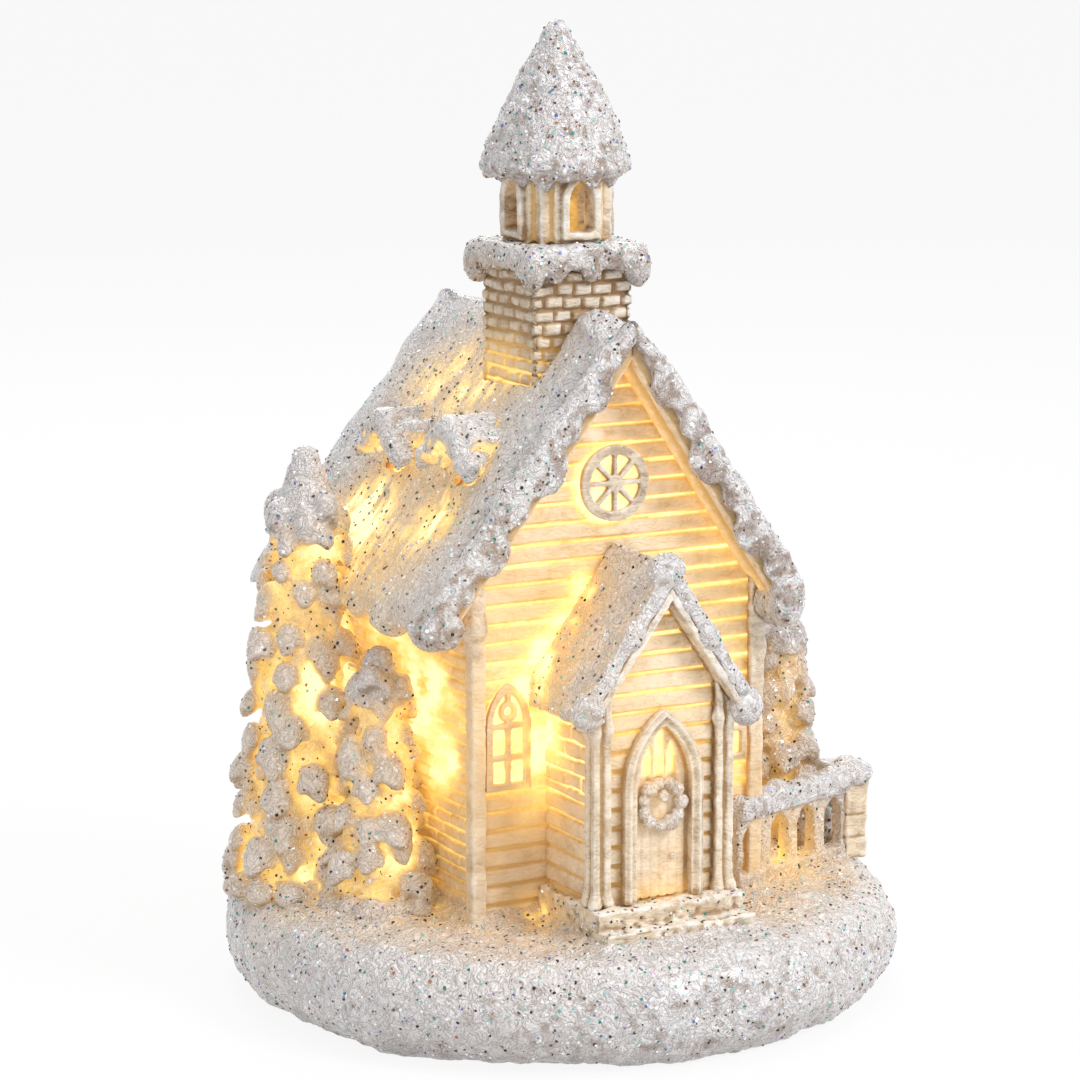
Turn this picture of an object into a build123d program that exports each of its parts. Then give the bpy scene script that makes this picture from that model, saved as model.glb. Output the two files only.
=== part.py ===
from build123d import *
import os
from math import atan2, cos, degrees, hypot, radians, sin, sqrt

# Snow-covered chapel ornament that lights up from inside, in millimetres.
# X runs to the right, Y to the back and Z up, and the porch faces -Y.
# The origin is the centre of the mound's foot, on the table.

# Snow mound, a hollow cast cushion
foot_radius = 66.0
mound_radius = 79.0
widest_height = 13.0
plateau_radius = 74.0
mound_wall = 8.0
mound_top = 5.0
light_hole_radius = 11.0
drift_radius = 10.0
drift_height = 1.6
drift_sink = 0.5
drift_places = ((-54.0, -31.0), (38.0, -48.0), (57.0, 22.0), (0.0, 60.5))

# Bottom cover and its screws
foot_recess = 0.8
cover_radius = 58.0
cover_thickness = 3.0
cover_clearance = 0.3
cover_ledge = 3.0
screw_count = 3
screw_inset = 11.0
screw_turn = 90.0
screw_radius = 1.4
screw_length = 10.0
screw_head_radius = 2.8
screw_head_height = 1.6
screw_slot_width = 0.7
screw_clearance = 0.1
boss_radius = 4.5

# Battery compartment for two standard AA cells
box_x = -4.5
box_y = 8.0
cell_diameter = 14.5
cell_length = 49.5
nub_diameter = 5.5
nub_length = 1.0
cell_count = 2
cell_gap = 0.3
spring_room = 3.0
contact_thickness = 0.5
contact_width = 9.0
leaf_foot = 1.2
box_wall = 1.5
box_roof = 1.4
box_gap = 0.3

# Battery door, hinged on two stub pintles
door_thickness = 2.4
door_clearance = 0.3
pintle_radius = 0.6
pintle_length = 1.8
pintle_clearance = 0.1
thumb_notch_radius = 5.0

# Slide switch in the cover
switch_x = -4.5
switch_y = -30.0
switch_length = 14.0
switch_width = 7.0
switch_height = 5.5
knob_length = 4.0
knob_width = 2.6
knob_travel = 3.0
knob_proud = 0.5
knob_clearance = 0.3
knob_reach = 2.0

# Lamp: a mast with a small board of light diodes
mast_radius = 4.0
mast_bore_radius = 2.6
mast_height = 62.0
mast_foot_radius = 9.0
mast_foot_height = 2.0
board_radius = 9.0
board_thickness = 1.6
led_count = 3
led_circle = 5.0
led_radius = 2.5
led_height = 8.6
lead_radius = 0.6
lead_spacing = 2.0
lead_bend_radius = 2.5
lead_drop = 6.0

# Chapel walls
ridge_x = -4.5
front_y = -31.8
house_depth = 76.8
left_half = 34.5
right_half = 37.5
wall = 3.0
gable_head = 29.8
board_pitch = 4.3
board_groove = 0.8
groove_depth = 0.8
corner_post_size = 3.6
corner_post_proud = 2.0

# Main roof and the snow on it; depths are measured straight up
left_rise = 1.275
right_rise = 1.5
left_reach = 47.0
right_reach = 41.0
roof_depth = 3.5
snow_depth = 5.0
snow_lip = 2.0
snow_tip_round = 4.0
front_overhang = 11.2
rear_overhang = 6.0
moulding_depth = 1.5
moulding_reach = 6.0
snow_gap = 0.3
edge_roll_radius = 4.8
edge_roll_proud = 2.4
edge_roll_front = 1.4
edge_lump_radius = 7.0
edge_lump_proud = 3.6
edge_lump_front = 2.0
edge_lump_shares = (0.06, 0.33, 0.6, 0.87)
eave_lump_radius = 5.0
eave_lump_inset = 2.2
eave_lump_drop = 1.5
eave_lump_count = 5

# Windows
window_half = 5.6
window_height = 24.7
window_rise = 10.0
window_band = 1.5
window_bar = 1.0
window_proud = 1.8
window_loop_radius = 1.7
front_window_sill = 31.2
left_window_x = -27.1
right_window_x = 29.6
side_window_sill = 24.0
side_window_spacing = 34.0
rear_window_sill = 34.0
round_window_gap = 4.7
round_window_radius = 8.7
round_window_band = 2.2
round_window_proud = 2.0
spoke_count = 8
spoke_width = 1.0
hub_radius = 1.6

# Dormers on the left slope
dormer_face = 31.0
front_dormer_share = 0.206
rear_dormer_share = 0.681
front_dormer_drop = 14.8
rear_dormer_drop = 17.5
dormer_half = 9.0
dormer_eave = 12.0
dormer_rise = 1.08
dormer_snow = 5.0
dormer_overhang = 2.5
dormer_wall = 1.8
dormer_arch_half = 4.0
dormer_shaft_half = 5.0

# Bell tower
tower_setback = 25.8
tower_side = 25.4
tower_wall = 3.2
tower_rise = 16.5
ledge_side = 30.5
ledge_depth = 6.0
ledge_round = 1.6
belfry_side = 21.5
belfry_chamfer = 4.5
belfry_height = 17.0
belfry_bore_radius = 7.4
belfry_window_half = 3.2
belfry_window_sill = 2.5
belfry_window_height = 12.0
belfry_window_rise = 5.0
spire_radius = 18.0
spire_height = 32.0
spire_eave_drop = 3.0
spire_wall = 4.0
spire_tip_radius = 5.6
spire_tip_height = 4.4
spire_clearance = 0.4

# Porch
porch_half = 18.0
porch_depth = 22.2
porch_wall = 2.5
porch_post_size = 4.5
porch_post_proud = 2.0
porch_apex = 76.3
porch_left_rise = 1.36
porch_right_rise = 1.48
porch_left_reach = 19.6
porch_right_reach = 20.0
porch_roof_depth = 3.0
porch_snow_depth = 6.0
porch_snow_lip = 1.8
porch_snow_round = 3.0
porch_overhang = 3.0
porch_floor = 8.0
porch_floor_front = 6.0
porch_floor_side = 1.0
step_height = 4.0
step_depth = 4.0
passage_half = 10.5
passage_height = 50.0

# Door, its surround and its wreath
surround_half = 10.0
surround_band = 3.0
surround_spring = 26.0
surround_peak = 43.4
surround_proud = 2.4
leaf_clearance = 0.2
leaf_thickness = 1.8
leaf_setback = 0.4
light_width = 1.8
light_length = 7.0
light_sill = 25.0
light_spacing = 3.4
plank_groove = 0.4
wreath_height = 21.6
wreath_radius = 5.0
wreath_tube = 1.6
wreath_sink = 0.8

# Balustrade on the right of the plateau
pier_x = 67.5
pier_y = -21.5
pier_size = 6.0
rail_start_y = -27.0
rail_top = 22.0
rail_depth = 5.0
rail_width = 6.0
plinth_height = 4.0
plinth_width = 5.0
panel_width = 3.2
front_gaps = 4
baluster_width = 3.4
return_length = 8.0

# Snowy fir trees: place, height or drop below the ridge, lowest rim, top rim and number of tiers
tall_tree_x = -56.5
tall_tree_y = 19.0
tall_tree_drop = 24.5
tall_tree_rim = 19.0
tall_tree_top_rim = 10.5
tall_tree_tiers = 7
small_tree_x = -50.5
small_tree_y = -6.0
small_tree_drop = 67.5
small_tree_rim = 13.0
small_tree_top_rim = 8.0
small_tree_tiers = 5
side_tree_x = 56.0
side_tree_y = -5.0
side_tree_height = 62.0
side_tree_rim = 11.5
side_tree_top_rim = 8.0
side_tree_tiers = 5
tier_tuck = 0.72
tier_droop = 0.33
tiers_share = 0.8
tree_tip_radius = 2.5
tree_clearance = 0.4

# Levels and places that follow from the stack inside the mound
cover_top = foot_recess + cover_thickness
door_top = foot_recess + door_thickness
cell_bottom = door_top + cell_gap
cell_axis_z = cell_bottom + cell_diameter / 2
box_ceiling = cell_bottom + cell_diameter + cell_gap
box_top = box_ceiling + box_roof
mound_ceiling = box_top + box_gap
screw_circle = cover_radius - screw_inset
floor = mound_ceiling + mound_top

# Levels and faces of the chapel
porch_thickness = porch_roof_depth + porch_snow_depth
round_window_height = porch_apex + porch_thickness + round_window_gap + round_window_radius
ridge_height = round_window_height + gable_head
tower_top = ridge_height + tower_rise
tall_tree_height = ridge_height - tall_tree_drop
small_tree_height = ridge_height - small_tree_drop
front_dormer_peak = ridge_height - front_dormer_drop
rear_dormer_peak = ridge_height - rear_dormer_drop
front_dormer_y = front_y + front_dormer_share * house_depth
rear_dormer_y = front_y + rear_dormer_share * house_depth
apex = floor + ridge_height
rear_y = front_y + house_depth
left_x = ridge_x - left_half
right_x = ridge_x + right_half
roof_front = front_y - front_overhang
roof_back = rear_y + rear_overhang
tower_y = front_y + tower_setback
ledge_bottom = floor + tower_top
belfry_bottom = ledge_bottom + ledge_depth
spire_bottom = belfry_bottom + belfry_height
porch_front = front_y - porch_depth
porch_floor_top = floor + porch_floor
porch_peak = floor + porch_apex
rise = {-1: left_rise, 1: right_rise}
reach = {-1: left_reach, 1: right_reach}
porch_slopes = {-1: porch_left_rise, 1: porch_right_rise}
porch_reach = {-1: porch_left_reach, 1: porch_right_reach}

# A margin that reaches past every piece, for cuts that run right through
past = 2 * (mound_radius + spire_bottom)


def block(x_low, x_high, y_low, y_high, z_low, z_high):
    """Box between two opposite corners."""
    centre = Pos((x_low + x_high) / 2, (y_low + y_high) / 2, (z_low + z_high) / 2)
    return centre * Box(x_high - x_low, y_high - y_low, z_high - z_low)


def rod(radius, x, y, z_low, z_high):
    """Upright cylinder."""
    return Pos(x, y, (z_low + z_high) / 2) * Cylinder(radius, z_high - z_low)


def across(face, y_low, y_high):
    """Prism of a face drawn in (x, z), running from y_low to y_high."""
    return extrude(Plane.XZ.offset(-y_high) * face, y_high - y_low)


def along(face, x_low, x_high):
    """Prism of a face drawn in (y, z), running from x_low to x_high."""
    return extrude(Plane.YZ.offset(x_low) * face, x_high - x_low)


def polygon(points):
    """Face with straight edges through the points."""
    return make_face(Polyline(*points, close=True))


def turned(points):
    """Solid of revolution about Z, from an outline of (radius, z) points."""
    return revolve(Plane.XZ * polygon(points), Axis.Z)


def pointed(half, foot, spring, peak):
    """Face with upright sides and a pointed head, centred on x = 0."""
    edges = [Line((-half, spring), (-half, foot))]
    edges.append(Line((-half, foot), (half, foot)))
    edges.append(Line((half, foot), (half, spring)))
    edges.append(TangentArc((half, spring), (0, peak), tangent=(0, 1)))
    edges.append(TangentArc((-half, spring), (0, peak), tangent=(0, 1)))
    return make_face(edges)


def inset_peak(half, spring, peak, band):
    """Height of the point of an arch that lies one band inside a pointed head."""
    head = peak - spring
    radius = (half**2 + head**2) / (2 * half)
    return spring + sqrt((radius - band) ** 2 - (radius - half) ** 2)


def moved(face, x, z):
    """Face shifted within its own plane."""
    return Pos(x, z) * face


def under_gable(centre_x, top, slopes, lift):
    """Everything below a pair of slopes that meet at the given top, raised by lift."""
    low = top - past
    left = (centre_x - past / 4, top + lift - slopes[-1] * past / 4)
    right = (centre_x + past / 4, top + lift - slopes[1] * past / 4)
    corners = [(left[0], low), left, (centre_x, top + lift), right, (right[0], low)]
    return across(polygon(corners), -past / 2, past / 2)


def slope_slab(side, centre_x, top, slope, run, depth, y_low, y_high):
    """Roof slab on one side of a ridge; depth is measured straight up."""
    edge_x = centre_x + side * run
    edge_z = top - slope * run
    corners = [(centre_x, top), (edge_x, edge_z), (edge_x, edge_z + depth), (centre_x, top + depth)]
    return across(polygon(corners), y_low, y_high)


def slope_snow(side, centre_x, top, slope, run, slab, depth, lip, tip_round, y_low, y_high):
    """Snow blanket on a roof slab, turned down over the slab's lower end."""
    slab_edge = centre_x + side * run
    edge = centre_x + side * (run + lip)
    low = top - slope * run
    corners = [(centre_x, top + slab + depth)]
    corners.append((edge, top + slab + depth - slope * (run + lip)))
    corners.append((edge, low))
    corners.append((slab_edge, low))
    corners.append((slab_edge, low + slab))
    corners.append((centre_x, top + slab))
    face = polygon(corners)
    tips = face.vertices().sort_by(Axis.X)
    tip = (tips[:2] if side < 0 else tips[-2:]).sort_by(Axis.Y)[-1]
    return across(fillet(tip, tip_round), y_low, y_high)


def boards(x_low, x_high, y_face, z_low, z_high):
    """Level grooves between clapboards on a wall that faces -Y."""
    grooves = []
    count = int((z_high - z_low) / board_pitch)
    for number in range(1, count + 1):
        z = z_low + number * board_pitch
        grooves.append(block(x_low, x_high, y_face, y_face + groove_depth, z, z + board_groove))
    return grooves


def house_block(grow):
    """Footprint of the walls, taller than the chapel and grown on every side."""
    return block(left_x - grow, right_x + grow, front_y - grow, rear_y + grow, 0, past)


# Pieces of the mound and its electrics


def screw_places():
    """Centres of the cover screws."""
    angles = [radians(screw_turn + 360 * number / screw_count) for number in range(screw_count)]
    return [(screw_circle * cos(angle), screw_circle * sin(angle)) for angle in angles]


def drift(x, y):
    """Low dome of blown snow on the plateau."""
    radius = (drift_radius**2 + drift_height**2) / (2 * drift_height)
    dome = Pos(x, y, floor + drift_height - radius) * Sphere(radius)
    return dome & block(x - radius, x + radius, y - radius, y + radius, floor - drift_sink, past)


def base_mound():
    """Hollow snow cushion with a recess for the cover and a hole for the lamp."""
    shoulder = TangentArc((mound_radius, widest_height), (plateau_radius, floor), tangent=(0, 1))
    belly = ThreePointArc(
        (foot_radius, 0),
        (
            foot_radius + (mound_radius - foot_radius) * sin(radians(45)),
            widest_height * (1 - cos(radians(45))),
        ),
        (mound_radius, widest_height),
    )
    edges = [Line((0, 0), (foot_radius, 0)), belly, shoulder]
    edges.append(Line((plateau_radius, floor), (0, floor)))
    edges.append(Line((0, floor), (0, 0)))
    solid = revolve(Plane.XZ * make_face(edges), Axis.Z)
    hollow = [(0, 0), (cover_radius + cover_clearance, 0)]
    hollow.append((cover_radius + cover_clearance, cover_top))
    hollow.append((cover_radius - cover_ledge, cover_top))
    hollow.append((mound_radius - mound_wall, widest_height))
    hollow.append((plateau_radius - mound_wall, mound_ceiling))
    hollow.append((0, mound_ceiling))
    solid -= turned(hollow)
    solid += [drift(x, y) for x, y in drift_places]
    solid -= rod(light_hole_radius, box_x, box_y, 0, past)
    for x, y in screw_places():
        solid += rod(boss_radius, x, y, cover_top, mound_ceiling)
        solid -= rod(screw_radius + screw_clearance, x, y, 0, foot_recess + screw_length + cell_gap)
    return solid


cells_width = cell_count * cell_diameter + (cell_count + 1) * cell_gap
cells_length = 2 * contact_thickness + cell_length + nub_length + spring_room
box_left = box_x - cells_length / 2
box_right = box_x + cells_length / 2
box_front = box_y - cells_width / 2
box_back = box_y + cells_width / 2
hinge_y = box_front + door_clearance + door_thickness / 2
hinge_z = foot_recess + door_thickness / 2


def bottom_cover():
    """Round plate in the foot, with the battery opening and the switch slot."""
    plate = rod(cover_radius, 0, 0, foot_recess, cover_top)
    plate -= block(box_left, box_right, box_front, box_back, 0, past)
    socket = Cylinder(pintle_radius + pintle_clearance, pintle_length + 2 * door_clearance)
    for x, side in ((box_left, -1), (box_right, 1)):
        centre = x + side * (pintle_length / 2)
        plate -= Pos(centre, hinge_y, hinge_z) * Rot(0, 90, 0) * socket
    slot_half = knob_width / 2 + knob_clearance
    slot_left = switch_x - knob_length / 2 - knob_travel - knob_clearance
    slot_right = switch_x + knob_length / 2 + knob_clearance
    plate -= block(slot_left, slot_right, switch_y - slot_half, switch_y + slot_half, 0, past)
    for x, y in screw_places():
        plate -= rod(screw_radius + screw_clearance, x, y, 0, past)
        head = foot_recess + screw_head_height
        plate -= rod(screw_head_radius + screw_clearance, x, y, 0, head)
    return plate


def cover_screws():
    """Pan-head screws that hold the cover to the mound's bosses."""
    screws = []
    for x, y in screw_places():
        head = rod(screw_head_radius, x, y, foot_recess, foot_recess + screw_head_height)
        shank = rod(screw_radius, x, y, foot_recess, foot_recess + screw_length)
        slot = Box(2 * screw_head_radius, screw_slot_width, screw_head_height)
        screws.append(head + shank - Pos(x, y, foot_recess) * slot)
    return Compound(children=screws)


def battery_box():
    """Open-bottomed tray that stands on the cover round the cells."""
    shell = block(
        box_left - box_wall,
        box_right + box_wall,
        box_front - box_wall,
        box_back + box_wall,
        cover_top,
        box_top,
    )
    return shell - block(box_left, box_right, box_front, box_back, 0, box_ceiling)


def cell_rows():
    """Y of each cell's axis and the way its nub points along X."""
    rows = []
    for number in range(cell_count):
        y = box_front + cell_gap + cell_diameter / 2 + number * (cell_diameter + cell_gap)
        rows.append((y, 1 if number % 2 == 0 else -1))
    return rows


def battery_cells():
    """AA cells, laid head to tail."""
    cells = []
    for y, way in cell_rows():
        nub_end = box_x + way * (cells_length / 2 - contact_thickness)
        body_end = nub_end - way * nub_length
        body = Cylinder(cell_diameter / 2, cell_length)
        nub = Cylinder(nub_diameter / 2, nub_length)
        cell = Pos(body_end - way * cell_length / 2, y, cell_axis_z) * Rot(0, 90, 0) * body
        cell += Pos(nub_end - way * nub_length / 2, y, cell_axis_z) * Rot(0, 90, 0) * nub
        cells.append(cell)
    return Compound(children=cells)


def plate_contacts():
    """Flat contacts at the cells' nubs."""
    plates = []
    for y, way in cell_rows():
        half = contact_width / 2
        end = box_x + way * cells_length / 2
        xs = sorted((end, end - way * contact_thickness))
        plates.append(block(*xs, y - half, y + half, cell_axis_z - half, cell_axis_z + half))
    return Compound(children=plates)


def spring_contacts():
    """Bent leaf springs that push on the cells' flat ends."""
    leaves = []
    for y, way in cell_rows():
        end = box_x - way * cells_length / 2
        crest = end + way * (contact_thickness + spring_room)
        outer = [(end, cell_axis_z - contact_width / 2)]
        outer.append((crest, cell_axis_z))
        outer.append((end, cell_axis_z + contact_width / 2))
        inner = [(end, cell_axis_z + contact_width / 2 - leaf_foot)]
        inner.append((crest - way * contact_thickness, cell_axis_z))
        inner.append((end, cell_axis_z - contact_width / 2 + leaf_foot))
        leaves.append(across(polygon(outer + inner), y - contact_width / 4, y + contact_width / 4))
    return Compound(children=leaves)


def battery_door():
    """Flap over the cells; its hinge edge is rounded about the pintles' axis."""
    low_x = box_left + door_clearance
    high_x = box_right - door_clearance
    back = box_back - door_clearance
    flap = block(low_x, high_x, hinge_y, back, foot_recess, door_top)
    barrel = Cylinder(door_thickness / 2, high_x - low_x)
    flap += Pos(box_x, hinge_y, hinge_z) * Rot(0, 90, 0) * barrel
    for x, side in ((low_x, -1), (high_x, 1)):
        pintle = Cylinder(pintle_radius, pintle_length)
        flap += Pos(x + side * pintle_length / 2, hinge_y, hinge_z) * Rot(0, 90, 0) * pintle
    notch = rod(thumb_notch_radius, box_x, back, 0, foot_recess + door_thickness / 2)
    return flap - notch


def switch_body():
    """Case of the slide switch, seated on the cover."""
    case = block(
        switch_x - switch_length / 2,
        switch_x + switch_length / 2,
        switch_y - switch_width / 2,
        switch_y + switch_width / 2,
        cover_top,
        cover_top + switch_height,
    )
    slot_half = knob_width / 2 + knob_clearance
    slot_left = switch_x - knob_length / 2 - knob_travel - knob_clearance
    slot_right = switch_x + knob_length / 2 + knob_clearance
    pocket_top = cover_top + knob_reach + knob_clearance
    return case - block(slot_left, slot_right, switch_y - slot_half, switch_y + slot_half, 0, pocket_top)


def switch_knob():
    """Sliding knob that passes up through the cover into the switch."""
    half_width = knob_width / 2
    knob = block(
        switch_x - knob_length / 2,
        switch_x + knob_length / 2,
        switch_y - half_width,
        switch_y + half_width,
        foot_recess - knob_proud,
        cover_top + knob_reach,
    )
    grip = []
    for number in (-1, 0, 1):
        x = switch_x + number * knob_length / 4
        ridge_end = x + knob_proud / 2
        grip.append(block(x, ridge_end, switch_y - half_width, switch_y + half_width, 0, foot_recess))
    return knob - grip


def switch_leads():
    """Wire from the battery box to the slide switch."""
    start_y = box_front - box_wall
    end_y = switch_y + switch_width / 2
    low = cover_top + switch_height / 2
    high = low + lead_drop
    middle = (start_y + end_y) / 2
    wires = []
    for side in (-1, 1):
        x = switch_x + side * switch_length / 4
        corners = [(x, start_y, high), (x, middle, high), (x, middle, low), (x, end_y, low)]
        path = FilletPolyline(*corners, radius=lead_bend_radius)
        section = Plane(origin=corners[0], z_dir=(0, -1, 0)) * Circle(lead_radius)
        wires.append(sweep(section, path=path))
    return Compound(children=wires)


board_bottom = box_top + mast_height
board_top = board_bottom + board_thickness


def led_mast():
    """Hollow post on the battery box that lifts the lamp board into the chapel."""
    post = rod(mast_radius, box_x, box_y, box_top, board_bottom)
    post += rod(mast_foot_radius, box_x, box_y, box_top, box_top + mast_foot_height)
    return post - rod(mast_bore_radius, box_x, box_y, 0, past)


def led_board():
    """Round circuit board on the mast."""
    return rod(board_radius, box_x, box_y, board_bottom, board_top)


def leds():
    """Warm white light diodes that stand on the board."""
    lamps = []
    for number in range(led_count):
        angle = radians(360 * number / led_count + 90)
        x = box_x + led_circle * cos(angle)
        y = box_y + led_circle * sin(angle)
        dome = board_top + led_height - led_radius
        lamp = rod(led_radius, x, y, board_top, dome)
        lamps.append(lamp + Pos(x, y, dome) * Sphere(led_radius))
    return Compound(children=lamps)


def led_leads():
    """Pair of wires inside the mast, from the battery box to the board."""
    wires = []
    for side in (-1, 1):
        wires.append(rod(lead_radius, box_x + side * lead_spacing / 2, box_y, box_top, board_bottom))
    return Compound(children=wires)


# Pieces of the chapel's walls


def gable_face():
    """Outline of the front and rear walls, up to the roof's underside."""
    corners = [(left_x, floor), (right_x, floor)]
    corners.append((right_x, apex - right_rise * right_half))
    corners.append((ridge_x, apex))
    corners.append((left_x, apex - left_rise * left_half))
    return polygon(corners)


def window_opening(x, sill):
    """Light opening inside a window's frame, as a face in (x, z)."""
    half = window_half - window_band
    spring = window_height - window_rise
    peak = inset_peak(window_half, spring, window_height, window_band)
    return moved(pointed(half, window_band, spring, peak), x, sill)


def front_wall():
    """Clapboard gable with two windows, the round window and the way into the porch."""
    panel = across(gable_face(), front_y, front_y + wall)
    for x in (left_window_x, right_window_x):
        hole = window_opening(ridge_x + x, floor + front_window_sill)
        panel -= across(hole, front_y - wall, front_y + 2 * wall)
    ring = Circle(round_window_radius - round_window_band)
    panel -= across(moved(ring, ridge_x, floor + round_window_height), front_y - wall, front_y + 2 * wall)
    panel -= block(
        ridge_x - passage_half,
        ridge_x + passage_half,
        front_y - wall,
        front_y + 2 * wall,
        porch_floor_top,
        porch_floor_top + passage_height,
    )
    return panel - boards(left_x, right_x, front_y, floor, apex)


def rear_wall():
    """Clapboard gable at the back, with one window."""
    panel = across(gable_face(), rear_y - wall, rear_y)
    hole = window_opening(ridge_x, floor + rear_window_sill)
    panel -= across(hole, rear_y - 2 * wall, rear_y + wall)
    return panel - boards(left_x, right_x, rear_y - groove_depth, floor, apex)


def side_wall(side):
    """Brick wall between the gables, with its top cut to the roof's slope."""
    outer = left_x if side < 0 else right_x
    low, high = sorted((outer, outer - side * wall))
    panel = block(low, high, front_y + wall, rear_y - wall, floor, apex)
    panel &= under_gable(ridge_x, apex, rise, 0)
    if side > 0:
        for y in side_window_places():
            hole = window_opening(y, floor + side_window_sill)
            panel -= along(hole, low - wall, high + wall)
    return panel


def side_window_places():
    """Y of the windows in the right wall."""
    middle = (front_y + rear_y) / 2
    return [middle - side_window_spacing / 2, middle + side_window_spacing / 2]


def corner_post(side, end):
    """Moulding wrapped round one corner of the walls."""
    corner_x = left_x if side < 0 else right_x
    corner_y = front_y if end < 0 else rear_y
    out_x = corner_x + side * corner_post_proud
    out_y = corner_y + end * corner_post_proud
    xs = sorted((out_x, out_x - side * corner_post_size))
    ys = sorted((out_y, out_y - end * corner_post_size))
    post = block(*xs, *ys, floor, apex)
    post &= under_gable(ridge_x, apex, rise, 0)
    return post - house_block(0)


def window_piece():
    """Window with a mullion, a transom and a small loop under its point, facing -Y on y = 0."""
    spring = window_height - window_rise
    outer = pointed(window_half, 0, spring, window_height)
    hole = window_opening(0, 0)
    frame = outer - hole
    bars = Pos(0, window_height / 2) * Rectangle(window_bar, window_height)
    bars += Pos(0, spring / 2) * Rectangle(2 * window_half, window_bar)
    bars += Pos(0, spring) * Rectangle(2 * window_half, window_bar)
    loop_z = spring + window_rise / 3
    bars += Pos(0, loop_z) * Circle(window_loop_radius + window_bar / 2)
    bars -= Pos(0, loop_z) * Circle(window_loop_radius - window_bar / 2)
    return across(frame + (bars & hole), -window_proud, 0)


def round_window():
    """Spoked round window high in the front gable."""
    ring = Circle(round_window_radius) - Circle(round_window_radius - round_window_band)
    wheel = ring + Circle(hub_radius)
    middle = round_window_radius - round_window_band / 2
    for number in range(spoke_count):
        wheel += Rot(0, 0, 360 * number / spoke_count) * Pos(middle / 2, 0) * Rectangle(middle, spoke_width)
    seat = moved(wheel, ridge_x, floor + round_window_height)
    return across(seat, front_y - round_window_proud, front_y)


# Pieces of the roof and the dormers


def tree_solid(x, y, height, rim, top_rim, tiers, grow):
    """Fir of stacked snowy tiers under a rounded cap."""
    tiers_height = height * tiers_share
    outline = [(0, 0)]
    for number in range(tiers):
        share = number / (tiers - 1)
        low_z = tiers_height * number / tiers
        radius = rim + (top_rim - rim) * share + grow
        outline.append((radius * tier_tuck, low_z))
        outline.append((radius, low_z + tiers_height * tier_droop / tiers))
    outline.append((tree_tip_radius + grow, height - tree_tip_radius + grow))
    outline.append((0, height + grow))
    return Pos(x, y, floor) * turned(outline)


def tall_tree(grow):
    """Tall fir on the left, flattened where it meets the wall."""
    solid = tree_solid(
        tall_tree_x,
        tall_tree_y,
        tall_tree_height,
        tall_tree_rim,
        tall_tree_top_rim,
        tall_tree_tiers,
        grow,
    )
    return solid - house_block(tree_clearance)


def small_tree(grow):
    """Small fir in front of the tall one."""
    solid = tree_solid(
        small_tree_x,
        small_tree_y,
        small_tree_height,
        small_tree_rim,
        small_tree_top_rim,
        small_tree_tiers,
        grow,
    )
    return solid - house_block(tree_clearance) - tall_tree(tree_clearance)


def side_tree(grow):
    """Fir on the terrace behind the balustrade."""
    return tree_solid(
        side_tree_x,
        side_tree_y,
        side_tree_height,
        side_tree_rim,
        side_tree_top_rim,
        side_tree_tiers,
        grow,
    )


def dormer_places():
    """Y and peak level of each dormer."""
    places = [(front_dormer_y, floor + front_dormer_peak)]
    places.append((rear_dormer_y, floor + rear_dormer_peak))
    return places


def dormer_shaft(y, peak):
    """Light shaft from the attic up into a dormer, under the dormer's ceiling."""
    front = ridge_x - dormer_face + dormer_wall
    ceiling = peak - dormer_snow - dormer_wall
    back = ridge_x - (apex + roof_depth + snow_depth - ceiling) / left_rise
    return block(front, back, y - dormer_shaft_half, y + dormer_shaft_half, floor, past)


def main_roof(side):
    """Roof slab with a stepped moulding under its front edge."""
    slab = slope_slab(side, ridge_x, apex, rise[side], reach[side], roof_depth, roof_front, roof_back)
    half = left_half if side < 0 else right_half
    moulding_run = half - corner_post_size
    moulding_top = apex - moulding_depth
    slab += slope_slab(
        side,
        ridge_x,
        moulding_top,
        rise[side],
        moulding_run,
        moulding_depth,
        front_y - moulding_reach,
        front_y,
    )
    inner = tower_side / 2 - tower_wall
    slab -= block(ridge_x - inner, ridge_x + inner, tower_y - inner, tower_y + inner, floor, past)
    if side < 0:
        slab -= [tall_tree(tree_clearance), small_tree(tree_clearance)]
        for y, peak in dormer_places():
            slab -= dormer_shaft(y, peak)
    return slab


def edge_lumps(side):
    """Fat roll of snow with lumps on it, along the front and rear edges of one slope."""
    steep = sqrt(1 + rise[side] ** 2)
    snow_top = apex + roof_depth + snow_depth
    roll_z = snow_top - (edge_roll_radius - edge_roll_proud) * steep
    lump_z = snow_top - (edge_lump_radius - edge_lump_proud) * steep
    roll_turn = degrees(atan2(side, -rise[side]))
    roll = Cylinder(edge_roll_radius, 2 * reach[side] * steep)
    lumps = []
    for y, way in ((roof_front, 1), (roof_back, -1)):
        roll_y = y + way * (edge_roll_radius - edge_roll_front)
        lumps.append(Pos(ridge_x, roll_y, roll_z) * Rot(0, roll_turn, 0) * roll)
        lump_y = y + way * (edge_lump_radius - edge_lump_front)
        for share in edge_lump_shares:
            run = share * reach[side]
            centre = Pos(ridge_x + side * run, lump_y, lump_z - rise[side] * run)
            lumps.append(centre * Sphere(edge_lump_radius))
    return [lump - under_gable(ridge_x, apex, rise, roof_depth) for lump in lumps]


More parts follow.
